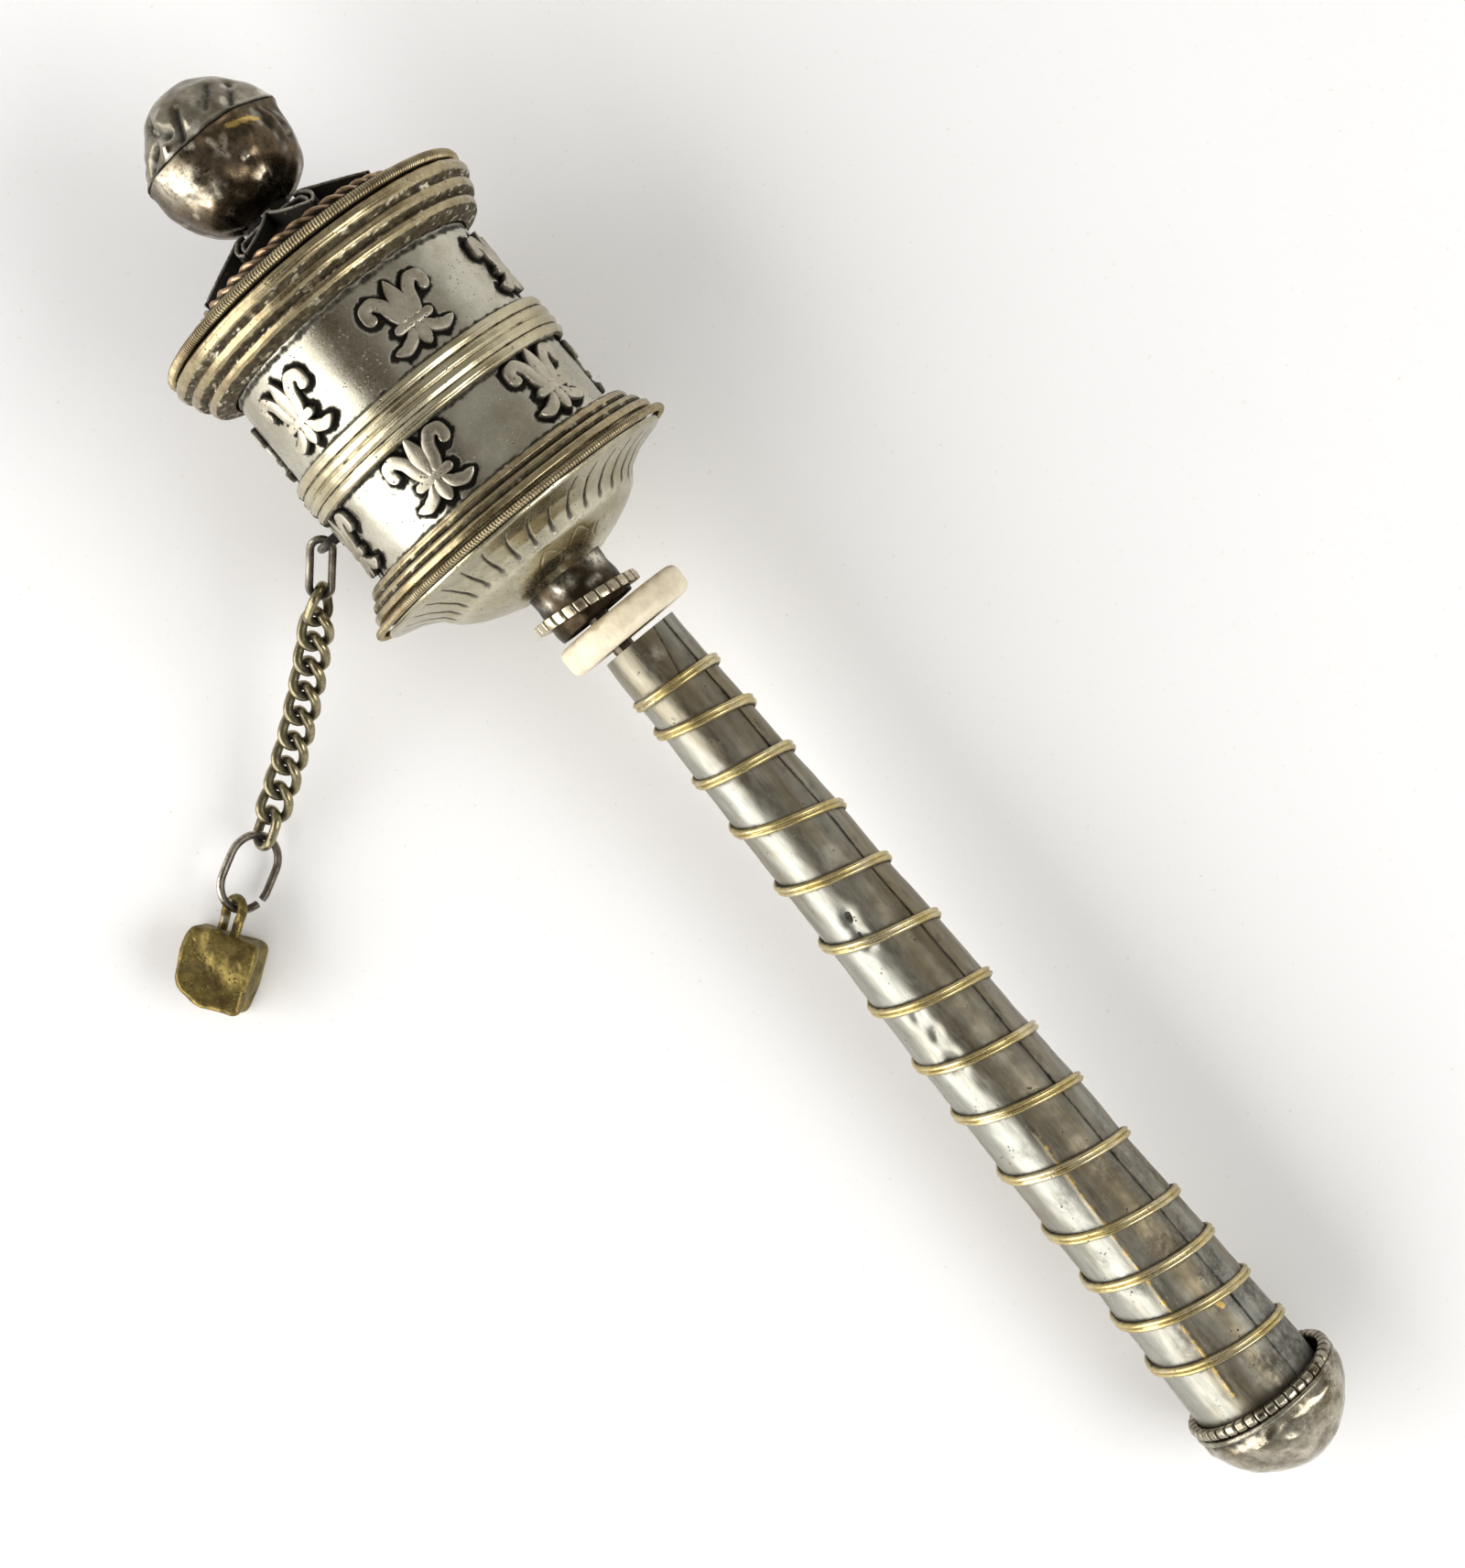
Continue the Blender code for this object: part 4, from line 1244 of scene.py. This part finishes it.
    def build(self, shop: Workshop) -> None:
        """Makes the dish, the sleeve and its beads."""
        shop.piece("bottom_dish", self.dish(), "bottom_cover", "dish_nickel")
        shop.piece("lower_sleeve", self.sleeve(), "axle_sleeve", "sleeve_bronze")
        shop.piece("sleeve_beads", self.bead_ring(), "sleeve_bead_ring")


@dataclass(frozen=True)
class Washer:
    """The bone washer that keeps the drum off the handle."""

    axis: WheelAxis
    aside: float = 2.4
    span: Pair = (88.95, 93.15)
    radii: Pair = (4.35, 9.95)

    def build(self, shop: Workshop) -> None:
        """Makes the washer: a rounded oblong section carried round, out of true by a hair."""
        (a, b), (low, high) = self.span, self.radii
        outline = [
            (a, low), (a, high - 1.0), (a + 0.35, high - 0.3), (a + 1.0, high), (b - 1.1, high),
            (b - 0.35, high - 0.35), (b, high - 1.1), (b, low)
        ]
        profile = smooth_loop(outline, 96, 3)
        turning = Turning(self.axis, 200, self.aside)
        places = turning.places(profile)
        lift = 0.07 * ripple(places, 5.0, 61) + 0.02 * ripple(places, 0.9, 62)
        # Painted shade, in the dark mask: the bone is darkened on the face next to the drum's sleeve and dish, and
        # towards the hole.
        shade = 0.4 * (1 - ramp(profile[:, :1] + 0.25 * ripple(places, 2.4, 63), a + 0.1, a + 0.8))
        shade = np.maximum(shade, 0.4 * (1 - ramp(profile[:, 1:] + 0 * lift, 6.2, 8.2)))
        shop.piece("bone_collar", turning.skin(profile, lift, grime=shade), "bone_washer")


@dataclass(frozen=True)
class Handle:
    """The handle: a tapered sheet lapped along its length, bound with one long brass helix."""

    axis: WheelAxis
    aside: float = 2.4
    span: Pair = (94.1, 228.3)
    radii: Pair = (5.6, 9.25)
    wall: float = 0.5
    rows: int = 400
    cols: int = 200
    lap: float = 0.2
    seam_s: tuple[float, ...] = (94.0, 108.0, 150.0, 190.0, 229.0)
    seam_angle: tuple[float, ...] = (46.0, 44.0, 41.0, 38.0, 34.0)
    wire: Pair = (1.5, 0.78)
    turns_left: tuple[float, ...] = (
        101.1, 105.6, 114.1, 122.0, 131.8, 141.7, 152.6, 162.3, 170.7, 181.1, 191.1, 199.6, 206.2, 214.2
    )
    turns_right: tuple[float, ...] = (
        102.5, 110.0, 118.1, 128.8, 138.1, 148.2, 158.8, 168.5, 177.7, 187.5, 198.1, 205.1, 212.6, 219.5
    )
    marks: tuple[Mark, ...] = (
        Mark((140.0, -18), (140.6, -19), 1.3, -0.55),
        Mark((143.0, -22), (144.6, -22), 1.1, -0.45),
        Mark((155.6, -29), (156.4, -31), 1.0, -0.45),
        Mark((159.3, -25), (160.0, -27), 0.9, -0.42),
        Mark((163.4, -29), (165.0, -32), 1.2, -0.50),
        Mark((120.0, -12), (122.0, -14), 2.2, -0.16),
        Mark((134.0, 14), (135.0, 12), 2.0, -0.14),
        Mark((175.0, 8), (177.0, 10), 2.4, -0.16),
        Mark((209.0, 16), (211.0, 18), 2.6, -0.15),
        Mark((178.0, -9), (222.0, -20), 0.24, 0.10, "gold", 0.55),
        Mark((93.9, 27), (101.7, 10), 0.22, -0.16, "grime", 0.8),
        Mark((97.0, 2), (97.0, 8), 0.9, 0.10, "worn", 0.6),
        Mark((211.0, 21), (211.8, 23), 0.35, 0.05, "gold", 1.0),
    )

    def radius(self, s: Array, angle: Array) -> Array:
        """The sheet's outside: an even taper, and from the seam on a step that sinks away within 7 mm round
        the skin.

        Args:
            s: Place along the axis.
            angle: Angle from the top.

        Returns:
            The radius.
        """
        plain = np.interp(s, self.span, self.radii)
        past = ((angle - np.radians(np.interp(s, self.seam_s, self.seam_angle))) % TURN) * plain
        return plain + self.lap * np.clip(1 - past / 7.0, 0, 1)

    def sheet(self) -> Surface:
        """The sheet: its columns follow the seam, so that the lap's edge is one crisp step."""
        s = np.linspace(*self.span, self.rows)[:, None]
        seam = np.radians(np.interp(s, self.seam_s, self.seam_angle))
        angle = seam + np.linspace(0.0004, TURN - 0.0004, self.cols)[None, :]
        plain = self.radius(s, angle)
        height, masks = marked(self.marks, s, angle, 7.5)
        places = self.axis.place(s, plain, angle, self.aside)
        waves = ((0.09, 16.0, 71), (0.035, 5.0, 72), (0.012, 2.0, 73))
        height += sum(deep * ripple(places, size, seed) for deep, size, seed in waves)
        round_seam = np.minimum(angle - seam, TURN - (angle - seam)) * plain
        stain = 0.6 * bell(round_seam, 0.16) * ramp(ripple(places, 5.0, 79), -1.2, 0.2)
        stain += 0.3 * bell(round_seam, 1.6) * ramp(ripple(places, 3.0, 74), 0, 1)
        turn = wrapped(angle)
        # Painted reflection, in the dark mask: a dark streak along the top of the handle stands in for the dark
        # room reflected there.
        painted_reflection = 0.2 * bell(turn - 0.05, 0.2) * ramp(ripple(places, 9.0, 75), -0.9, 0.6)
        soil = 0.5 * ramp(s, 150.0, 226.0) * ramp(ripple(places, 6.0, 80) + 0.8 * np.sin(turn), -0.6, 1.6)
        from_wire = np.abs(s - self.nearest_turn(s, angle))
        wire_edge = 0.45 * (1 - ramp(from_wire + 0.1 * ripple(places, 2.0, 70), 0.6, 1.15))
        masks["grime"] = np.maximum.reduce([masks["grime"] + 0 * plain, stain, painted_reflection, soil, wire_edge])
        outside = self.axis.place(s, plain + height, angle, self.aside)
        inner_s = np.linspace(self.span[1], self.span[0], 12)[:, None]
        inner_angle = np.radians(np.interp(inner_s, self.seam_s, self.seam_angle)) + angle[:1] - seam[0, 0]
        inner_radius = np.interp(inner_s, self.span, self.radii) - self.wall + 0 * inner_angle
        inside = self.axis.place(inner_s, inner_radius, inner_angle, self.aside)
        rows = {
            k: np.vstack([v + 0 * plain, 0 * inner_radius + 0.8 * (k == "grime")]) for k, v in masks.items()
        }
        return Surface.grid(np.concatenate([outside, inside]), wrap_rows=True, **rows)

    def helix(self) -> tuple[Array, Array]:
        """The wire's course: s at each angle, by its turns' places on the left and right, eased between.

        Returns:
            The angles, which run on from turn to turn, and s at each.
        """
        known_angle, known_s = [], []
        for k, (left, right) in enumerate(zip(self.turns_left, self.turns_right)):
            known_angle += [(k - 0.25) * TURN, (k + 0.25) * TURN]
            known_s += [left, right]
        known_angle = [-0.45 * TURN, *known_angle, (len(self.turns_left) - 0.55) * TURN]
        known_s = [100.6, *known_s, 221.6]
        angle = np.arange(known_angle[0], known_angle[-1], TURN / 96)
        eased = softened(np.interp(angle, known_angle, known_s)[:, None], 160)[:, 0]
        return angle, eased

    def nearest_turn(self, s: Array, angle: Array) -> Array:
        """The wire's s at each place's angle, on the turn nearest to the place."""
        course_angle, course_s = self.helix()
        best = np.full(np.broadcast(s, angle).shape, -99.0)
        for k in range(-1, len(self.turns_left) + 1):
            found = np.interp(wrapped(angle) + k * TURN, course_angle, course_s, left=-99, right=-99)
            best = np.where(np.abs(found - s) < np.abs(best - s), found, best)
        return best

    def binding(self) -> Surface:
        """The wire: an M-shaped section, with a groove along its middle, carried along the helix."""
        angle, s = self.helix()
        wide, high = self.wire
        outline = [
            (-0.5, -0.12), (-0.5, 0.35), (-0.4, 0.82), (-0.24, 1.0), (-0.1, 0.9), (0, 0.55), (0.1, 0.9),
            (0.24, 1.0), (0.4, 0.82), (0.5, 0.35), (0.5, -0.12)
        ]
        section = resample(np.array(outline) * np.array([wide, high]), 22, closed=True)
        radius = self.radius(s, angle)
        radius = softened(radius[:, None], 12)[:, 0]
        path = self.axis.place(s, radius + 0.05, angle, self.aside)
        outward = unit(self.axis.place(s, radius + 1, angle, self.aside) - path)
        ahead = unit(np.gradient(path, axis=0))
        across = np.cross(outward, ahead)
        rings = path[:, None] + section[None, :, :1] * across[:, None]
        rings = rings + section[None, :, 1:] * outward[:, None]
        rings = rings + 0.05 * ripple(rings, 4.0, 77)[..., None] * outward[:, None]
        shape = np.clip((0.75 * high - section[:, 1]) / (0.6 * high), 0, 1)[None, :]
        return Surface.grid(
            rings, grime=shape * 0.9, worn=0.35 * (1 - shape) * ramp(ripple(rings, 6.0, 78), -0.2, 1.0)
        )

    def build(self, shop: Workshop) -> None:
        """Makes the sheet and its binding."""
        shop.piece("handle_skin", self.sheet(), "handle_sheet", crease=35)
        shop.piece("binding_helix", self.binding(), "binding_wire", crease=70)


@dataclass(frozen=True)
class Pommel:
    """The domed cap at the handle's end and the beaded ring at its mouth."""

    axis: WheelAxis
    aside: float = 2.9
    beads: int = 42
    bead_wire: Wire = Wire(225.75, 10.55, 0.84, 3.0)
    lip_wire: Wire = Wire(227.0, 10.85, 0.42, 2.0)
    trim: float = math.cos(math.pi / 20)

    def dome(self) -> Surface:
        """The cap: a thin dome from its profile, with its lumps and rubbed patches."""
        outer = [
            (226.9, 10.9), (229.0, 11.2), (231.4, 10.2), (233.9, 8.4), (236.1, 5.8), (237.5, 3.0),
            (238.0, 0.02)
        ]
        inner = [
            (237.2, 0.02), (236.8, 2.4), (235.3, 5.2), (233.0, 7.6), (231.0, 9.3), (229.0, 10.3),
            (226.9, 10.1)
        ]
        outside = softened(resample(outer, 90), 8)
        profile = np.vstack([outside, softened(resample(inner, 30), 2)])
        profile = np.roll(profile, -len(outside), axis=0)
        turning = Turning(self.axis, 256, self.aside)
        angle = turning.angles()
        places = turning.places(profile, self.aside)
        lift = 0.16 * ripple(places, 7.0, 81) + 0.035 * ripple(places, 2.4, 82)
        dents = (
            Mark((231.0, -44), (232.6, -34), 1.7, -0.40, "grime", 0.3),
            Mark((233.0, 12), (235.0, 26), 1.8, -0.3),
            Mark((229.6, -4), (230.4, 6), 1.2, -0.25, "grime", 0.5),
            Mark((232.0, -14), (234.0, -6), 1.6, 0.2, "worn", 0.4),
        )
        height, masks = marked(dents, profile[:, :1], angle, 10.0)
        fade = np.clip(profile[:, 1:] / 5, 0, 1)
        radius = profile[:, 1:] * (self.trim + 0.002) + (lift + height) * fade
        grid = self.axis.place(profile[:, :1], radius, angle, self.aside)
        by_ring = 0.8 * (1 - ramp(profile[:, :1] + 0.3 * ripple(places, 1.4, 83), 227.0, 228.2))
        masks["grime"] = np.maximum(masks["grime"], by_ring)
        return Surface.grid(grid, **masks)

    def mouth(self) -> Surface:
        """The beaded ring and the plain wire beside it."""
        section, lip_cols = 14, 240
        dip, square = beading(self.beads, section, 2.2)
        swell, grime = (0.6 + 0.38 * dip) * square / 1.1, 1 - dip + 0 * square
        beads = self.bead_wire.skin(self.axis, self.beads * section, swell, section, self.aside, grime=grime)
        plain = np.ones((section, lip_cols))
        lip = self.lip_wire.skin(self.axis, lip_cols, plain, section, self.aside, grime=0.2 * plain)
        return Surface.joined([beads, lip])

    def build(self, shop: Workshop) -> None:
        """Makes the dome and its ring."""
        shop.piece("pommel_dome", self.dome(), "pommel_cap")
        shop.piece("pommel_beads", self.mouth(), "pommel_bead_ring")


@dataclass(frozen=True)
class Link:
    """A link of wire, bent to a long oval that may twist along its length."""

    pitch: float
    half_width: float
    wire: float
    near_roll: float
    far_roll: float
    gap: float = 0.16

    def skin(self, pivot: Array, ahead: Array, opening: float = 0.0) -> Surface:
        """Carries a round section along the oval: straight sides, half-circle ends, its width turned about
        the way ahead from the near roll to the far one.

        Args:
            pivot: Where it hangs on the link before it.
            ahead: The way to the next link's pivot.
            opening: Length of wire left out at one side's far end, for a link that was never closed.

        Returns:
            The link.
        """
        level = np.array([ahead[0], ahead[1], 0.0])
        side = unit(np.array([-level[1], level[0], 0.0]))
        up = np.cross(ahead, side)
        half = (self.pitch + self.wire + self.gap) / 2
        straight = half - self.half_width
        turns = np.radians(np.linspace(-90, 90, 32))
        along = np.concatenate(
            [straight + self.half_width * np.cos(turns), -straight - self.half_width * np.cos(turns)]
        )
        width = self.half_width * np.concatenate([np.sin(turns), -np.sin(turns)])
        flat = resample(np.stack([along, width], axis=-1), 112, closed=True)
        if opening:
            keep = resample(np.vstack([flat, flat[:1]]), 600)
            cut = np.hypot(keep[:, 0] - half * 0.62, keep[:, 1] - self.half_width * 0.9) > opening / 2 + 0.1
            start = int(np.argmin(cut))
            keep = np.roll(keep, -start, axis=0)
            flat = resample(keep[np.roll(cut, -start)], 112)
        roll_at = np.radians(self.near_roll + (self.far_roll - self.near_roll) * (flat[:, :1] / half + 1) / 2)
        across = np.cos(roll_at) * side + np.sin(roll_at) * up
        facing = -np.sin(roll_at) * side + np.cos(roll_at) * up
        path = pivot + (self.pitch / 2 + flat[:, :1]) * ahead + flat[:, 1:] * across
        section = disc(self.wire / 2, 18)
        bare = tube(path, facing, section, closed=not opening)
        middle = path.mean(axis=0)
        outward = np.linalg.norm(bare.points - middle, axis=1)
        ring = np.arange(len(outward)) // len(section)
        on_path = np.interp(ring, np.arange(len(path)), np.linalg.norm(path - middle, axis=1))
        rubbed = ramp(outward - on_path, 0.1, 0.5)
        inner = np.clip(1 - rubbed * 2.2, 0, 1) * 0.75
        ends = bell(np.abs(np.repeat(flat[:, 0], len(section))) - half, 0.8)
        inner[: len(ends)] *= 0.4 + 0.6 * ends
        bare.masks = {"grime": inner, "worn": rubbed * 0.5}
        return bare


@dataclass(frozen=True)
class Chain:
    """The chain on the drum's side: a staple, a long link, curb links, an oval ring and a cast weight."""

    axis: WheelAxis
    joints: dict[str, Array]
    base: Array
    long_link: Link = Link(7.5, 1.5, 1.1, -10, -10)
    first_curb: Link = Link(3.85, 1.9, 1.38, -90, -45)
    curb: Link = Link(3.85, 1.9, 1.38, 45, -45)
    last_curb: Link = Link(3.85, 1.9, 1.38, 45, 45)
    ring: Link = Link(9.7, 4.0, 1.15, -45, -45)
    eye: Pair = (1.85, 1.34)
    eye_roll: float = 42.0
    half_size: Pair = (5.45, 5.3)
    height: float = 9.0
    staple_s: float = 57.8

    def staple(self) -> Surface:
        """The staple: two legs and a half circle in the plane across the axis, its feet in solder."""
        loop, reach, foot, angle = 2.1, 21.0, 19.5, math.radians(-5.5)
        turns = np.radians(np.linspace(-90, 90, 30))
        out = np.concatenate(
            [np.linspace(foot, reach, 6)[:-1], reach + loop * np.cos(turns), np.linspace(reach, foot, 6)[1:]]
        )
        along = np.concatenate([np.full(5, -loop), loop * np.sin(turns), np.full(5, loop)])
        y = -(out * math.cos(angle) + along * math.sin(angle))
        z = out * math.sin(angle) - along * math.cos(angle)
        path = self.axis.place(self.staple_s, np.hypot(y, z), np.arctan2(y, z))
        worn = 0.2 * ramp(out, reach, reach + loop)[:, None]
        grime = 0.9 * (1 - ramp(out, foot, reach))[:, None]
        parts = [tube(path, self.axis.along, disc(0.52, 14), closed=False, worn=worn, grime=grime)]
        for turn in (-95.5 + 6.0, -95.5 - 6.0):
            polar, spin = np.linspace(0.04, math.pi - 0.04, 12)[:, None], around(20)[None, :]
            blob = 1 + 0.12 * np.sin(3 * spin + polar * 2)
            parts.append(Surface.grid(self.axis.place(
                self.staple_s + 0.95 * blob * np.sin(polar) * np.cos(spin),
                19.3 + 0.5 * blob * np.cos(polar),
                math.radians(turn) + 0.9 * blob * np.sin(polar) * np.sin(spin) / 19.3,
            ), grime=0.8 + 0 * polar))
        return Surface.joined(parts)

    def block(self, ahead: Array, side: Array) -> Surface:
        """The weight: an outline of four unlike corners shrinks to the middle over a rounded top edge and a
        flat base, and its top is lumpy and pitted.

        Args:
            ahead: Level direction from the eye to the far side.
            side: Level direction across it.

        Returns:
            The block.
        """
        a, b = self.half_size
        corners = [
            (-a, -b + 0.7), (-a + 0.3, b * 0.1), (-a + 0.2, b - 0.9), (-a + 0.9, b), (a * 0.2, b + 0.15),
            (a - 0.5, b - 0.4), (a + 0.15, b - 1.3), (a, -b * 0.1), (a - 1.3, -b + 1.4), (a - 2.9, -b + 0.25),
            (0, -b + 0.15), (-a + 1.2, -b)
        ]
        outline = smooth_loop(corners, 260, 24)
        foot, shoulder = (np.linspace(0, math.pi / 2, count)[1:] for count in (8, 12))
        wall = np.linspace(0.9, self.height - 1.1, 36)[1:]
        crest = self.height - 1.1 + 1.0 * np.sin(shoulder)
        rise = np.concatenate(
            [np.zeros(14), 0.9 * (1 - np.cos(foot)), wall, crest, np.full(34, self.height - 0.1)]
        )
        out_to_foot, in_to_middle = np.linspace(0.01, 0.93, 14), np.linspace(0.87, 0.01, 34)
        rounded = 1 - 0.12 * (1 - np.cos(shoulder))
        share = np.concatenate([out_to_foot, 0.93 + 0.07 * np.sin(foot), np.ones(35), rounded, in_to_middle])
        flat = share[:, None, None] * outline[None]
        up = rise[:, None, None] * np.array([0, 0, 1.0])
        points = self.base + flat[..., :1] * ahead + flat[..., 1:] * side + up
        waves = ((0.32, 6.5, 91), (0.07, 2.6, 92), (0.012, 0.9, 93))
        lump = sum(deep * ripple(points, size, seed) for deep, size, seed in waves)
        pit = ramp(ripple(points, 1.8, 94), 1.25, 2.0)
        top = ramp(rise, 1.0, 3.0)[:, None]
        out = unit(points - self.base - np.array([0, 0, self.height / 2]))
        points = points + ((lump - 0.2 * pit - 0.12) * top)[..., None] * out
        points[..., 2] = np.maximum(points[..., 2], 0.02)
        hollow = ramp(-ripple(points, 4.0, 95), 0.3, 1.6) * 0.4
        edge = bell(rise - (self.height - 0.5), 0.6)[:, None] * 0.45
        return Surface.grid(points, grime=np.maximum(pit * 0.6, hollow), gold=0.4 * edge + 0 * pit)

    def loop(self, pivot: Array, ahead: Array) -> Surface:
        """The weight's eye: a wire arc of 250 degrees with two legs that run into the block."""
        size, wire = self.eye
        side = np.array([-ahead[1], ahead[0], 0.0])
        turn = math.radians(self.eye_roll)
        across = math.cos(turn) * side + math.sin(turn) * np.array([0, 0, 1.0])
        turns = np.radians(np.linspace(-118, 118, 48))
        middle = pivot + (size - (wire + 0.16) / 2) * ahead
        arc = middle - size * np.cos(turns)[:, None] * ahead + size * np.sin(turns)[:, None] * across
        path = np.vstack([arc[:1] + 2.4 * ahead, arc, arc[-1:] + 2.4 * ahead])
        section = disc(wire / 2, 18) * np.array([1.0, 1.12])
        made = tube(resample(path, 70), np.cross(ahead, across), section, closed=False)
        made.points = made.points + 0.03 * ripple(made.points, 2.0, 97)[:, None] * np.array([0, 0, 1.0])
        made.masks = {
            "grime": ramp(ripple(made.points, 1.8, 98), 0.2, 1.2) * 0.6,
            "worn": ramp(ripple(made.points, 2.5, 99), 0.3, 1.3) * 0.4
        }
        return made

    def build(self, shop: Workshop) -> None:
        """Makes every link between its joint and the next one's, then the weight."""
        curbs = sorted(name for name in self.joints if name.startswith("curb_link_"))
        names = ["long_link", *curbs, "end_ring"]
        kinds = {
            names[0]: self.long_link, curbs[0]: self.first_curb, curbs[-1]: self.last_curb,
            names[-1]: self.ring
        }
        called = {"long_link": "long_chain_link", "end_ring": "oval_ring"}
        shop.piece("side_staple", self.staple(), "chain_staple", "black_patina")
        for name, after in zip(names, [*names[1:], "chain_weight"]):
            kind = kinds.get(name, self.curb)
            way = unit(self.joints[after] - self.joints[name])
            opening = 0.7 if name == "end_ring" else 0.0
            piece = called.get(name, name.replace("curb_link", "chain_curb"))
            shop.piece(piece, kind.skin(self.joints[name], way, opening), name)
        pivot = self.joints["chain_weight"]
        level = self.base - pivot
        ahead = unit(np.array([level[0], level[1], 0.0]))
        side = np.array([-ahead[1], ahead[0], 0.0])
        shop.piece("cast_weight", self.block(ahead, side), "chain_weight")
        shop.piece("weight_eye", self.loop(pivot, ahead), "chain_weight")


@dataclass(frozen=True)
class Lamp:
    """A soft rectangular light: where it stands, its size in metres and how bright its face is."""

    name: str
    place: tuple[float, float, float]
    size: Pair
    radiance: float

    def build(self, target: Array) -> None:
        """Makes the light, facing the target. Its power is π × area × radiance."""
        data = bpy.data.lights.new(self.name, "AREA")
        data.shape, data.size, data.size_y = "RECTANGLE", *self.size
        data.energy = math.pi * self.size[0] * self.size[1] * self.radiance
        lamp = placed(self.name, data)
        back = unit(np.array(self.place) - target)
        right = unit(np.cross([0.0, 0.0, 1.0], back))
        lamp.matrix_world = turned(right, np.cross(back, right), back, np.array(self.place))


def turned(right: Array, up: Array, back: Array, place: Array) -> Matrix:
    """The matrix of an object with these three axes, in metres at a place."""
    matrix = np.eye(4)
    matrix[:3, :3], matrix[:3, 3] = np.stack([right, up, back], axis=-1), place
    return Matrix(matrix.tolist())


@dataclass(frozen=True)
class Studio:
    """A pale table, soft lights, a sky that is dark overhead, and the camera above the wheel."""

    axis: WheelAxis
    camera_from_rim: tuple[float, float, float] = (61.106, -0.398, 371.013)
    view: tuple[float, float, float] = (-0.04336, 0.0, -0.99906)
    up: tuple[float, float, float] = (-0.77109, 0.63585, 0.03347)
    lens: float = 64.1
    lamps: tuple[Lamp, ...] = (
        Lamp("key_light", (-0.15, -1.25, 0.62), (2.6, 1.5), 2.5),
        Lamp("fill_light", (1.0, 0.75, 1.05), (1.1, 0.9), 4.0),
    )

    def table(self) -> None:
        """The table top: a pale sheet whose height is seeded ripples under a twentieth of a millimetre."""
        cells, half = 60, 1500
        side = np.linspace(-half, half, cells)
        grid = np.stack([*np.meshgrid(side, side), np.zeros((cells, cells))], axis=-1)
        grid[..., 2] = -0.05 + 0.04 * ripple(grid, 700, 101)
        mesh = bpy.data.meshes.new("table_top")
        mesh.from_pydata((grid.reshape(-1, 3) * MM).tolist(), [], weave(cells, cells, False, False).tolist())
        made = placed("table_top", mesh)
        paper = Finish(
            "pale_table", (0.955, 0.95, 0.95), (0.945, 0.94, 0.94), 0.8, metal=0.0, cloud=60.0, relief=0.004,
            uneven=(0.995, 1.0)
        )
        mesh.materials.append(paper.material())

    def sky(self) -> None:
        """The world: grey by height, with a dark brown patch overhead that leans towards -Y."""
        world = bpy.data.worlds.new("studio")
        bpy.context.scene.world = world
        world.use_nodes = True
        graph = NodeGraph(world.node_tree)
        way = graph.add("ShaderNodeTexCoord").outputs["Generated"]
        split = graph.add("ShaderNodeSeparateXYZ", {0: way}).outputs
        low = graph.span(split[2], 0.0, 0.5, (1.0, 0.0))
        side = graph.span(split[1], -0.6, 0.8)
        colour = graph.mix(side, (0.62, 0.62, 0.62), (0.40, 0.385, 0.355))
        colour = graph.mix(low, colour, (1.0, 1.0, 1.0))
        facing = graph.add(
            "ShaderNodeVectorMath", {0: way, 1: (0.0, -0.42, 0.906)}, operation="DOT_PRODUCT"
        ).outputs["Value"]
        colour = graph.mix(graph.span(facing, 0.80, 0.95), colour, (0.13, 0.105, 0.075))
        shade = graph.add("ShaderNodeBackground", {"Color": colour, "Strength": 1.0})
        graph.add("ShaderNodeOutputWorld", {"Surface": shade.outputs[0]})

    def camera(self) -> None:
        """The camera, above and a little past the drum."""
        data = bpy.data.cameras.new("camera")
        data.lens, data.sensor_width, data.clip_start = self.lens, 36.0, 0.01
        made = placed("camera", data)
        back, up = -unit(np.array(self.view)), np.array(self.up)
        right = unit(np.cross(up, back))
        place = (self.axis.origin + np.array(self.camera_from_rim)) * MM
        made.matrix_world = turned(right, np.cross(back, right), back, place)
        bpy.context.scene.camera = made

    def build(self) -> None:
        """Sets up the table, sky, lights and camera."""
        self.table()
        self.sky()
        for lamp in self.lamps:
            lamp.build(np.array([0.0, 0.0, 0.02]))
        self.camera()
        bpy.context.scene.view_settings.view_transform = "Standard"
        bpy.context.scene.view_settings.look = "None"
        bpy.context.scene.view_settings.gamma = 0.85


def main() -> None:
    """Builds the wheel piece by piece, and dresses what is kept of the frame."""
    logging.basicConfig(level=logging.INFO, format="%(message)s")
    joints = {joint["child"]: np.array(joint["pos_m"]) / MM for joint in frame["joints"]}
    spin = next(joint for joint in frame["joints"] if joint["child"] == "drum")
    axis = WheelAxis(joints["drum"], unit(np.array(spin["axis"])))
    base = np.array(frame["record"]["mounts"][0]["pos_m"]) / MM
    shop = Workshop(frame["record"])
    parts = (
        Finial(axis), Crown(axis), Drum(axis), Base(axis), Washer(axis), Handle(axis), Pommel(axis),
        Chain(axis, joints, base)
    )
    for part in parts:
        part.build(shop)
    for name, node in frame["nodes"].items():
        if not node.hide_render:
            shop.dress(node, name)
    Studio(axis).build()


if __name__ == "__main__":
    main()
